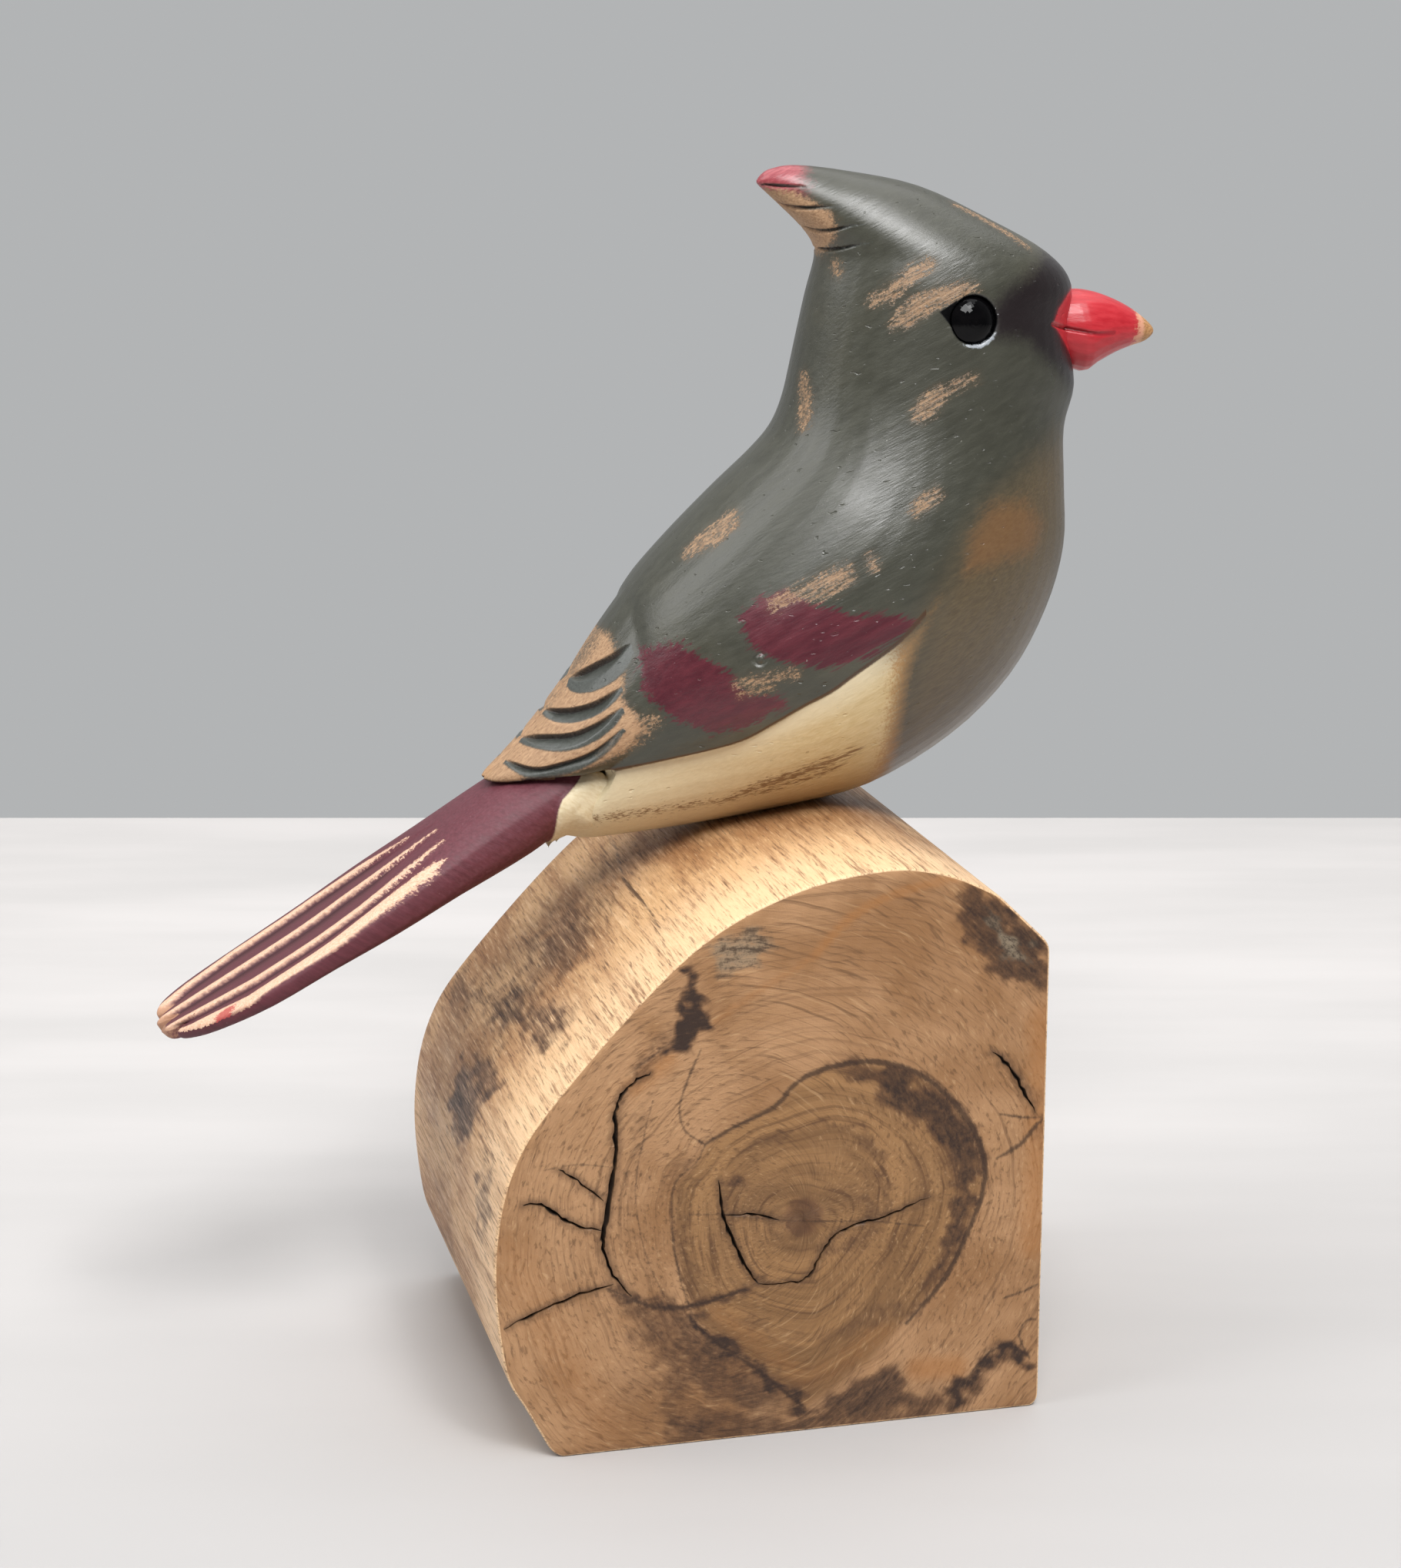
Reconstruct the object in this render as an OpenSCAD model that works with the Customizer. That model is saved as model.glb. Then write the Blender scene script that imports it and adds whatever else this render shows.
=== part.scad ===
// Carved songbird with a swept crest, perched on a block sawn from a small log.
//
// Frame: +X is the way the bird faces, +Y runs back along the grain of the log, +Z is up.
// The origin is the middle of the log's flat underside.
//
// The bird is drawn about its perch point, where the belly touches the crown of the log.
// Its body and beak are skins drawn between two rails that lie in its plane of symmetry.

/* [Log] */
// Width of the flat underside
log_w = 70; // [62:1:80]
// Height of the crown above the table
log_h = 81; // [74:1:92]
// Length of the block along its grain
log_l = 69; // [60:1:90]

/* [Bird] */
// Size of the bird against the one designed, which is 150 mm from bill to tail
bird_scale = 1; // [0.85:0.01:1.15]
// Place of the perch point to the right of the middle of the log
perch_x = 10; // [4:1:14]
// Place of the perch point behind the middle of the log
perch_y = 10; // [0:1:11]
// Depth that the belly is eased down onto the crown
seat_depth = 0.3; // [0.1:0.1:1.5]

/* [Tail] */
// Length of the tail from under the wing tips to its end
tail_l = 59; // [45:1:70]
// Full width of the tail at its middle
tail_w = 28; // [18:1:32]
// Thickness of the tail at its middle
tail_t = 4.2; // [2.6:0.1:5]
// Fall of the tail below level, in degrees
tail_fall = 30; // [24:1:34]

/* [Eyes] */
// Diameter of each glass eye
eye_d = 6.6; // [5.5:0.1:8.5]
// Height of the glass dome above the cheek
eye_rise = 1.3; // [0.6:0.1:2]

/* [Perch dowel] */
// Diameter of the dowel that holds the bird to the log
dowel_d = 6; // [4:0.5:10]
// Length of the dowel inside the log
dowel_in_log = 18; // [10:1:30]
// Length of the dowel inside the bird
dowel_in_bird = 16; // [10:1:25]
// Gap left all round the dowel and the eyes for glue
glue_gap = 0.05; // [0.02:0.01:0.2]

/* [Smoothness] */
// Sides of each ring of the body
body_sides = 48; // [24:4:48]
// Rings between one station of a skin and the next
rings_per_station = 4; // [2:1:4]

/* [Hidden] */

// The designed size of the log, which its outline below is drawn at
LOG_W = 70;
LOG_H = 81;

// Round stretch of the log's outline, from the end of the sawn facet over the crown and
// down to the undercut on the left, as [across, up], and the points between its stations
LOG_ROUND = [
    [27.5, 76.4], [20, 79.8], [11, 81], [-2.5, 78.4], [-16.5, 70.8],
    [-33.6, 53.2], [-40.8, 42.4], [-43.4, 29], [-42.2, 14], [-39.5, 8]
];
ROUND_STEPS = 7;
// Flat stretch, from the left foot along the underside and up the planed right side
LOG_FLAT = [[-35.8, 0.9], [-34.6, 0], [34.4, 0], [35.2, 0.8], [35.2, 68.6], [34.6, 69.4]];

// Stations of the body from rump to crest. Each is a chord from the back rail to the
// front rail, as [back x, back z, front x, front z, half width, lean]. A positive lean
// moves the widest place of the section towards the front rail.
BODY = [
    [-35.6, -2.2, -37.8, -5.5,  5.5, 0.10],
    [-22.0, 22.0, -35.2, -3.4,  9.8, 0.08],
    [-24.2, 31.0, -31.5, -4.0, 12.0, 0.06],
    [-24.6, 32.4, -24.0, -3.5, 14.4, 0.03],
    [-23.6, 34.0, -15.0, -2.6, 16.8, 0.00],
    [-21.6, 36.4,  -3.0, -0.9, 19.5, 0.00],
    [-17.0, 41.2,  11.0,  2.0, 21.5, 0.00],
    [-11.0, 47.0,  23.7,  8.8, 22.0, 0.00],
    [ -5.6, 51.9,  32.8, 17.3, 21.5, 0.00],
    [ -2.6, 55.4,  38.5, 27.1, 19.8, 0.00],
    [ -1.0, 59.3,  41.3, 36.5, 17.8, 0.00],
    [  0.0, 63.8,  41.3, 45.5, 16.0, 0.00],
    [  1.0, 68.6,  41.1, 54.0, 15.0, 0.00],
    [  2.3, 74.5,  42.6, 60.4, 14.4, 0.00],
    [  3.5, 79.0,  41.2, 68.0, 13.8, 0.02],
    [  3.3, 81.0,  41.8, 74.8, 12.8, 0.03],
    [  2.2, 82.7,  37.9, 79.6, 11.4, 0.03],
    [  0.5, 84.5,  29.2, 84.4,  9.2, 0.03],
    [ -1.6, 86.4,  18.6, 89.2,  6.4, 0.02],
    [ -3.4, 88.0,   8.0, 91.4,  3.9, 0.00],
    [ -5.0, 89.4,   0.0, 92.3,  2.1, 0.00],
    [ -5.6, 90.0,  -4.0, 91.6,  0.8, 0.00]
];

// Stations of the folded wing tips, from where they end over the root of the tail to where
// they sink into the back
WING_TIPS = [
    [-46.2,  5.9, -46.1,  5.4,  1.0, 0.00],
    [-45.2,  6.7, -44.5,  5.2,  3.6, 0.10],
    [-42.4,  9.3, -40.0,  5.6,  7.0, 0.18],
    [-38.2, 13.8, -34.0,  6.4, 10.2, 0.22],
    [-33.2, 20.2, -28.5,  7.6, 12.6, 0.22],
    [-29.1, 26.3, -22.0,  9.6, 14.2, 0.18],
    [-25.7, 31.0, -17.5, 11.8, 14.0, 0.14],
    [-22.4, 35.2, -12.0, 16.0, 12.4, 0.08],
    [-17.0, 40.0,  -6.0, 22.0,  8.0, 0.00]
];

// Stations of the beak from its root inside the face to its tip
BEAK = [
    [37.0, 73.0, 39.0, 64.0, 4.2, 0],
    [42.0, 74.0, 44.0, 62.0, 5.4, 0],
    [45.0, 73.8, 46.4, 63.2, 5.0, 0],
    [48.0, 72.9, 49.2, 64.6, 4.2, 0],
    [51.0, 71.5, 51.7, 65.5, 3.2, 0],
    [53.4, 69.9, 53.8, 66.1, 2.1, 0],
    [54.9, 68.6, 55.0, 66.9, 1.1, 0],
    [55.4, 67.9, 55.4, 67.5, 0.3, 0]
];

// Stations of the tail as [share of its length, half width near, half width far,
// thickness, squareness]. The widths and the thickness are shares of tail_w and tail_t,
// and a squareness of 2 is an ellipse. The far side runs on longer than the near side.
TAIL = [
    [-0.24, 0.26, 0.26, 2.0, 2.0],
    [-0.10, 0.32, 0.32, 2.5, 2.1],
    [ 0.00, 0.36, 0.36, 2.7, 2.3],
    [ 0.20, 0.43, 0.43, 2.1, 2.8],
    [ 0.38, 0.49, 0.49, 1.5, 3.6],
    [ 0.55, 0.50, 0.50, 1.0, 4.5],
    [ 0.72, 0.49, 0.50, 0.8, 4.5],
    [ 0.86, 0.37, 0.49, 0.7, 4.0],
    [ 0.94, 0.22, 0.44, 0.65, 4.0],
    [ 0.98, 0.08, 0.36, 0.6, 4.0],
    [ 1.00, -0.06, 0.24, 0.4, 3.0]
];
TAIL_ROOT = [-42.5, -0.3];

// Sides of each ring, and rings from one station to the next, of the smaller skins
WING_SIDES = 32;
BEAK_SIDES = 24;
TAIL_SIDES = 28;
SMALL_STEPS = 3;

// Centre of each eye on the cheek, as [x, z], and how far the axis leans up and forward
EYE_PLACE = [22.8, 71.1];
EYE_HALF_WIDTH = 13.4;
EYE_UP = 8;
EYE_FORWARD = 4;
EYE_SEAT = 1.2;
DOME_STEPS = 8;

// Sides of every rod, hole and eye, and how far a hole is cut past the surface it starts at
ROUND_SIDES = 48;
CUT_PAST = 4;

perch = [perch_x, perch_y, log_h - seat_depth];

// Point of a smooth curve through p1 and p2, with p0 and p3 as its neighbours
function curve(p0, p1, p2, p3, t) = 0.5 * (
    2 * p1 + (p2 - p0) * t
    + (2 * p0 - 5 * p1 + 4 * p2 - p3) * t * t
    + (3 * p1 - p0 - 3 * p2 + p3) * t * t * t
);

// Row of a table at place u, where whole numbers are the table's own rows
function row_at(table, u) =
    let (last = len(table) - 1, i = min(floor(u), last - 1))
    curve(table[max(i - 1, 0)], table[i], table[i + 1], table[min(i + 2, last)], u - i);

// All the rows of a table, with steps rows for each one given
function smooth(table, steps) =
    [for (i = [0 : (len(table) - 1) * steps]) row_at(table, i / steps)];

// Section between two rails: an egg whose long axis is the station's chord
function egg(s, sides) = [
    for (j = [0 : sides - 1])
        let (a = 360 * j / sides, f = (1 - cos(a)) / 2 + s[5] * sin(a) * sin(a))
        [s[0] + (s[2] - s[0]) * f, s[4] * sin(a), s[1] + (s[3] - s[1]) * f]
];

// Signed power, which squares up a circle
function bulge(v, n) = sign(v) * pow(abs(v), 2 / n);

// Section of the tail: a squared-up ellipse across the tail's axis
function slab(s, sides) =
    let (near = s[1] * tail_w, far = s[2] * tail_w, x = -s[0] * tail_l)
    [for (j = [0 : sides - 1])
        let (a = 360 * j / sides)
        [x, (far - near) / 2 + (far + near) / 2 * bulge(cos(a), s[4]),
            s[3] * tail_t / 2 * bulge(sin(a), s[4])]];

// Closed skin over a list of rings that all have the same number of sides
module skin(rings) {
    sides = len(rings[0]);
    last = len(rings) - 1;
    sleeve = [
        for (i = [0 : last - 1], j = [0 : sides - 1])
            let (a = i * sides + j, b = i * sides + (j + 1) % sides)
            each [[a, b, a + sides], [b, b + sides, a + sides]]
    ];
    start = [for (j = [sides - 1 : -1 : 0]) j];
    end = [for (j = [0 : sides - 1]) last * sides + j];
    polyhedron(points = [for (r = rings) each r], faces = concat([start], sleeve, [end]));
}

module on_perch() {
    translate(perch) scale(bird_scale) children();
}

module body_shape() {
    skin([for (s = smooth(BODY, rings_per_station)) egg(s, body_sides)]);
}

module wing_tip_shape() {
    skin([for (s = smooth(WING_TIPS, SMALL_STEPS)) egg(s, WING_SIDES)]);
}

module beak_shape() {
    skin([for (s = smooth(BEAK, SMALL_STEPS)) egg(s, BEAK_SIDES)]);
}

module tail_shape() {
    translate([TAIL_ROOT.x, 0, TAIL_ROOT.y])
        rotate([0, -tail_fall, 0])
            skin([for (s = smooth(TAIL, SMALL_STEPS)) slab(s, TAIL_SIDES)]);
}

module log_shape() {
    outline = concat(smooth(LOG_ROUND, ROUND_STEPS), LOG_FLAT);
    rotate([90, 0, 0])
        linear_extrude(height = log_l, center = true)
            polygon([for (p = outline) [p.x * log_w / LOG_W, p.y * log_h / LOG_H]]);
}

// Upright rod on the perch axis, reaching the given lengths below and above the crown
module perch_rod(d, below, above) {
    translate([perch_x, perch_y, log_h - below])
        cylinder(d = d, h = below + above, $fn = ROUND_SIDES);
}

// Puts its children on one cheek, with +Z pointing out of the head; side is 1 or -1
module on_cheek(side) {
    translate([EYE_PLACE.x, side * EYE_HALF_WIDTH, EYE_PLACE.y])
        rotate([0, 0, -side * EYE_FORWARD])
            rotate([-side * (90 - EYE_UP), 0, 0])
                children();
}

// Glass eye: a shallow dome on a short round rim
module eye_shape() {
    r = eye_d / 2;
    dome_r = (r * r + eye_rise * eye_rise) / (2 * eye_rise);
    half_angle = asin(r / dome_r);
    dome = [
        for (i = [DOME_STEPS : -1 : 0])
            let (a = half_angle * i / DOME_STEPS)
            [dome_r * sin(a), eye_rise - dome_r * (1 - cos(a))]
    ];
    rotate_extrude($fn = ROUND_SIDES)
        polygon(concat([[0, -EYE_SEAT], [r, -EYE_SEAT]], dome));
}

module eye_socket() {
    translate([0, 0, -EYE_SEAT])
        cylinder(d = eye_d + 2 * glue_gap, h = EYE_SEAT + CUT_PAST, $fn = ROUND_SIDES);
}

module log_base() {
    color("peru")
        difference() {
            log_shape();
            perch_rod(dowel_d + 2 * glue_gap, dowel_in_log, CUT_PAST);
        }
}

module bird_body() {
    color([0.37, 0.38, 0.35])
        difference() {
            on_perch() {
                difference() {
                    union() {
                        body_shape();
                        wing_tip_shape();
                    }
                    tail_shape();
                    beak_shape();
                    for (side = [-1, 1]) on_cheek(side) eye_socket();
                }
            }
            log_shape();
            perch_rod(dowel_d + 2 * glue_gap, CUT_PAST, dowel_in_bird);
        }
}

module tail() {
    color([0.43, 0.2, 0.27])
        on_perch() tail_shape();
}

module beak() {
    color([0.87, 0.24, 0.27])
        on_perch() beak_shape();
}

module eye_left() {
    color("black")
        on_perch() on_cheek(1) eye_shape();
}

module eye_right() {
    color("black")
        on_perch() on_cheek(-1) eye_shape();
}

module perch_dowel() {
    color("burlywood")
        perch_rod(dowel_d, dowel_in_log, dowel_in_bird);
}

log_base();
bird_body();
tail();
beak();
eye_left();
eye_right();
perch_dowel();
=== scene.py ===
"""Carved crested songbird on a sawn log block: how its pieces look.

The CAD model gives every piece its shape, size and place. This script carves the fine cuts into
finer meshes of the same shapes, and paints them.

Lengths are in millimetres unless a name says otherwise. The bird's features are placed about
its perch point, where the belly meets the log: x is the way it faces, y is across it and z is
up. The side at negative y is the one that the camera sees, and cuts that both sides have are
written for that side. The log's features are placed in the frame of the whole object.
"""

import math
from types import SimpleNamespace

import bmesh
import bpy
import numpy as np
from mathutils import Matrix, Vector, geometry


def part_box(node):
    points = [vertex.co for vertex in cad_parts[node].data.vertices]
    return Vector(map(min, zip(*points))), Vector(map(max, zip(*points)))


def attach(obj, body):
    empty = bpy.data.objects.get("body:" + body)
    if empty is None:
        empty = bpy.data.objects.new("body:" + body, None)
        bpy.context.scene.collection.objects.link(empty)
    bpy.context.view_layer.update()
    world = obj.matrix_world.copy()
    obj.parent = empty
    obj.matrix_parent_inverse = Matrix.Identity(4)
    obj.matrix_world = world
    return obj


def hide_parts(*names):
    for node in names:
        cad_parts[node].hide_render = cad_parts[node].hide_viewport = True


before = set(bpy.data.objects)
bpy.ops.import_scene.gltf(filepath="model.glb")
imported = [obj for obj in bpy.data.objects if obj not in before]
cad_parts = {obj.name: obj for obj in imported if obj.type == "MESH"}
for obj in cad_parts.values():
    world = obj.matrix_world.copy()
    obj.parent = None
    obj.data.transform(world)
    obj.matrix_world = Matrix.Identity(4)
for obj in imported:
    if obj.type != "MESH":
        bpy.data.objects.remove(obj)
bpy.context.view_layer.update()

MM = 0.001
BODY_NAME = "root"
FAR = 99.0

# Camera and stage, in metres and degrees
CAMERA_PLACE = (-0.1135, -0.4289, 0.1928)
CAMERA_AZIMUTH = -14.07
CAMERA_ELEVATION = 13.59
CAMERA_LENS = 72.46
FLOOR_BACK = 0.318
FLOOR_FRONT = -1.4
FLOOR_HALF_WIDTH = 1.1
ROOM_FRONT = (0.15, 0.15, 0.155, 1)
ROOM_BACK = (0.447, 0.456, 0.462, 1)
# Lights: name, azimuth, elevation, distance, (width, height), power
LIT_POINT = (0, 0, 0.09)
LIGHTS = [
    ("key", -2, 51, 0.9, (0.5, 0.36), 7.4),
    ("crown", 22, 62, 0.9, (0.3, 0.3), 1.6),
    ("glint", 8, 48, 0.7, (0.05, 0.05), 0.45),
    ("overhead", 165, 76, 0.95, (1.2, 1.0), 6.0),
    ("side", -88, 42, 1.2, (0.7, 0.8), 6.4),
]

# The bird is seated this far into the crown of the log
SEAT_DEPTH = 0.3

# Lower edge of the folded wing, seen from the side as (x, z), from its tip to its shoulder
WING_EDGE = [
    (-46.5, 5.2), (-41, 5.8), (-33.5, 7.1), (-29.2, 8.3), (-22.5, 10), (-16.1, 11.7), (-11.7, 13.3),
    (-7.6, 15.8), (-3.8, 18.2), (0.2, 20.3), (3.2, 22.4), (9.4, 26.6), (13.1, 30.2), (15.6, 33),
]
# Front edge of the cream belly, from the point under the shoulder down to the log
CREAM_FRONT = [
    (16.8, 34), (15.4, 30.5), (14.5, 27.9), (12.6, 23.1), (12, 17.2), (12.8, 8.5), (14.5, 0),
    (15.5, -8),
]
# Where the olive grey of the wing turns brown towards the breast
BREAST_EDGE = [(9, -4), (11, 10), (13.5, 26), (18, 36), (25, 45), (34, 51), (46, 57)]

# Feather cuts of the wing tips: (points along the upper lip, width, depth, width of the grey
# paint left below the lip)
WING_CUTS = [
    ([(-26, -8.8, 26.1), (-29.7, -5.9, 23.2), (-33.4, -1, 20)], 2.6, 1.15, 4.6),
    ([(-27.8, -10.9, 20.3), (-31.4, -8.9, 17.8), (-34.5, -5.9, 16.4), (-37, -0.6, 15.4)],
      2.8, 1.2, 2.3),
    ([(-28, -12.1, 17.6), (-31.8, -10.5, 14.9), (-35.6, -7.9, 13.1), (-40.4, -0.6, 11.4)],
      2.1, 1.1, 2.6),
    ([(-28, -13, 14.8), (-32.1, -11.7, 11.3), (-36, -9.7, 9.4), (-40, -7.2, 8.3),
      (-43.4, -2.2, 8.8)], 1.7, 1.05, 1.7),
]
# Slits in the back of the crest, given in the same way
CREST_CUTS = [
    ([(1.6, -4.2, 89.4), (-3.9, -1.7, 89.6), (-4.9, -0.5, 89.5)], 0.6, 0.7, 0.4),
    ([(5.2, -6.4, 86.8), (0.6, -3.6, 86.6), (-3, -0.2, 86.9)], 0.75, 0.9, 0.5),
    ([(8.4, -8.4, 84.5), (3.6, -4.4, 83.5), (0.2, -0.2, 83.4)], 0.75, 0.9, 0.5),
    ([(9.4, -8.6, 81.9), (4.8, -4.2, 80.8), (2.9, -0.4, 80.5)], 0.65, 0.8, 0.4),
]
# Groove between the two wing tips, along the back
TIP_SPLIT = [(-31, 0, 23.5), (-38, 0, 14.6), (-42, 0, 10.2), (-46.6, 0, 5.8)]
TIP_SPLIT_DEPTH = 0.9
TIP_SPLIT_HALF_WIDTH = 0.7
KNOT = (-9.9, -20.1, 25.2)
# Depth of the step below the wing, at the shoulder and how much more at the tip
WING_STEP_FRONT = 0.25
WING_STEP_MORE = 0.6
# The way the brush and the fibres run on the body and on the belly, down towards the tail
BODY_GRAIN = math.radians(26)
BELLY_GRAIN = math.radians(18)

# Bare wood worn through the paint of the wing tips and the crest, as outlines seen from the side
WORN_ZONES = [
    [(-28.2, 26.6), (-27.4, 22), (-28, 18.6), (-26.2, 16.6), (-25.4, 14.6), (-27.8, 11.4),
     (-32, 9.2), (-36, 7.4), (-47.5, 4.4), (-47.5, 7.4), (-43, 11.8), (-37.2, 15.2), (-34.2, 19.3),
     (-31.6, 22.4), (-28.8, 26.6)],
    [(-5.6, 89.1), (-1, 88.7), (1.6, 87.4), (4, 85.6), (4.8, 83.4), (4.2, 80.8), (3.4, 79.6),
     (2.6, 80.6), (0.6, 83.2), (-2.8, 86.8)],
]
# Rubbed streaks of bare wood on the near side: (points, half width)
NEAR_STREAKS = [
    ([(-16.8, -7.6, 38.6), (-13.9, -8.4, 41), (-11.4, -9, 43.6)], 1.5),
    ([(-15.2, -9, 39.4), (-11.2, -10.2, 42.8)], 1),
    ([(-7.8, -18.9, 32.5), (-2.9, -19.7, 34.9), (2.8, -20.4, 37.3)], 0.8),
    ([(-2.6, -20, 33.7), (2.6, -20.6, 36.1)], 0.75),
    ([(5.9, -20.4, 38.9), (6.3, -20.8, 37.9)], 0.45),
    ([(12.9, -19, 45), (14.3, -18.6, 46.3), (16.2, -18.2, 47.4)], 0.75),
    ([(-13, -19.4, 21.5), (-8.6, -20.4, 22.6), (-5, -21.2, 23.2)], 0.5),
    ([(-12.4, -19.6, 20.2), (-8.4, -20.8, 21.2)], 0.35),
    ([(10.6, -11.1, 74.8), (13.7, -11.7, 77), (16.8, -11.9, 79)], 0.8),
    ([(8.8, -10.5, 73.8), (12.4, -11.4, 75)], 0.6),
    ([(12.4, -12.5, 71.6), (16.3, -13.1, 74), (22.4, -13.4, 75.6)], 1.15),
    ([(11.6, -12.6, 70.8), (15.4, -13.2, 72.4)], 0.8),
    ([(14.4, -15.1, 58.1), (16.4, -15, 59.8), (17.8, -14.9, 61)], 1.1),
    ([(18.4, -15, 61.2), (22.9, -14.7, 63)], 0.2),
    ([(0.5, -4.2, 62.5), (0.4, -5.7, 59.5), (-0.1, -7, 56.2)], 1.05),
    ([(23.1, -4, 86.4), (28, -5, 84.2), (32.5, -7, 80.8)], 0.75),
    ([(5, -4.8, 78.8), (5.4, -5.6, 77.2)], 0.5),
    ([(-30.8, -12, 10.8), (-27.6, -13.8, 13.2), (-24.4, -15.1, 15.9)], 1.5),
]
# The same on the far side, which has its own wear
FAR_STREAKS = [
    ([(-13, 9.5, 38.6), (-9, 11.5, 41.8)], 0.8),
    ([(2, 20.6, 34.4), (8.5, 21, 36.6), (12.5, 20.8, 37.8)], 0.6),
    ([(-9, 19.4, 22.6), (-3, 21, 24.4)], 0.4),
    ([(9, 11.4, 73.4), (13.8, 12.6, 75.2)], 0.6),
    ([(24, 15.6, 57), (27, 15.2, 59.2)], 0.6),
    ([(24.6, 1.6, 86.9), (30.6, 2.6, 83.6)], 0.45),
    ([(4, 9, 59), (5, 9.6, 54.6)], 0.5),
]
# Brown brush marks rubbed into the cream of the belly, on both sides
BELLY_MARKS = [
    ([(-13.6, -12.2, 2.8), (-7.5, -15, 5.7), (-1.2, -16.5, 8), (4.8, -17.8, 10.9)], 1.5),
    ([(-10.3, -13.2, 3.6), (-2.4, -15.1, 6), (3.9, -16.6, 8.5)], 1),
    ([(-34, -7.4, 0), (-30.2, -9.1, 0.6), (-18.3, -11.7, 2.3), (-13, -12.6, 3.2)], 0.9),
    ([(-34, -7.3, 0.4), (-26.3, -10.1, 1.4)], 0.5),
]
# Brushed maroon patches of the wing, as outlines seen from the side
MAROON_ZONES = [
    [(-25, 25.4), (-25.2, 19.8), (-21.8, 16.6), (-16.4, 14.4), (-11.9, 15.3), (-6, 18.4),
     (-6.6, 19.8), (-11.6, 20.4), (-14.6, 23.6), (-20.4, 27)],
    [(-12.4, 31), (-11.4, 27.2), (-6.7, 24.6), (0, 23.8), (5.6, 25.2), (12.6, 29.8), (9.2, 31),
     (3, 31.2), (-2, 32.6), (-5.6, 34.6), (-9.4, 33.4)],
]
ORANGE_ZONE = [
    (20.5, 36.5), (21.6, 41), (24.8, 44.8), (30.6, 45), (33.2, 41.6), (31.6, 38.2), (26.6, 37.6),
]

# Head: the height it starts at, and where its face does
HEAD_BOTTOM = 58
FACE_BOTTOM = 60
FACE_REAR = 34
# Eyes: where the lids are painted round them, seen from the side
EYE_CENTRE = (22.8, 71.1)
EYE_RADIUS = 3.3
EYE_CORNER = [(17.7, 72.3), (20.2, 73.9), (21.6, 72), (19.9, 69.6)]
LID_ANGLES = (-116, -30)
LID_HALF_WIDTH = 0.26

BEAK_TIP = (55.4, 0.0, 67.7)
BEAK_TIP_WEAR = 4.6
MOUTH = [(36.2, 69.8), (39, 68.9), (42, 68.3), (45, 67.8), (47.6, 67.9)]
MOUTH_DEPTH = 0.6
MOUTH_HALF_WIDTH = 0.4
# Red of the beak that runs back over the face to the corners of the mouth, and the dark paint
# between it and the eye
GAPE = [(35.9, 69.8), (37.1, 72.2), (39.2, 74.1), (43, 76), (50, 77), (50, 59), (44.4, 61.2),
        (41.2, 63.9), (38.8, 66.6), (37.4, 68.1)]
MASK = [(26.8, 71.8), (28.6, 73.6), (32.1, 75.6), (36, 78.2), (40.5, 78.6), (45, 77), (46, 70),
        (46, 59), (42.6, 60), (38.1, 64.2), (34.4, 66.9), (32.2, 69.2), (27, 70)]
CREST_TIP = (-5.6, 0.0, 90.2)
CREST_TIP_RADIUS = 7.0
WING_TIP = (-46.2, 0.0, 5.6)
WING_TIP_RADIUS = 2.0

# Tail: its root, its fall, and its feather edges as (along it, across it)
TAIL_ROOT = (-42.5, -0.3)
TAIL_FALL = math.radians(30)
TAIL_LENGTH = 59.0
FEATHER_EDGES = [
    [(8, 0.5), (13, 2.7), (22, 7.2), (31, 9.6), (45, 10.4), (53, 9.2), (60, 6.6)],
    [(5, -3.4), (9, -2.8), (27, 0.4), (47, 2), (60, 3)],
    [(5, -7), (9, -7.6), (25, -8.6), (43.5, -6.8), (60, -1.8)],
]
NEAR_WEAR = [(11, -10.6), (20, -11.6), (31, -12.4), (45, -11.6), (54, -7.4), (59, -3.6)]
FEATHER_DROP = 0.85
FEATHER_RUN_IN = 9.0
SCALLOP_DEPTH = 2.6
RED_SPOT = (49, -10.6)
RED_SPOT_RADIUS = 2.0

# Rear edge of the cream lip that laps over the root of the tail, seen from the side
CREAM_LIP = [
    (-38.6, -9), (-37.8, -5.4), (-37.3, -2.5), (-37.1, 0), (-36.8, 2.1), (-36.1, 3.6), (-35, 4.6),
    (-33.6, 6), (-31.6, 8.4), (-28, 12),
]
# Height of the lip of cream above the tail, by the distance in from its edge
LIP_RISE = [(-0.25, 0), (0.35, 0.6), (2, 1.3), (4, 3.1), (6, 3.4)]

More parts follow.
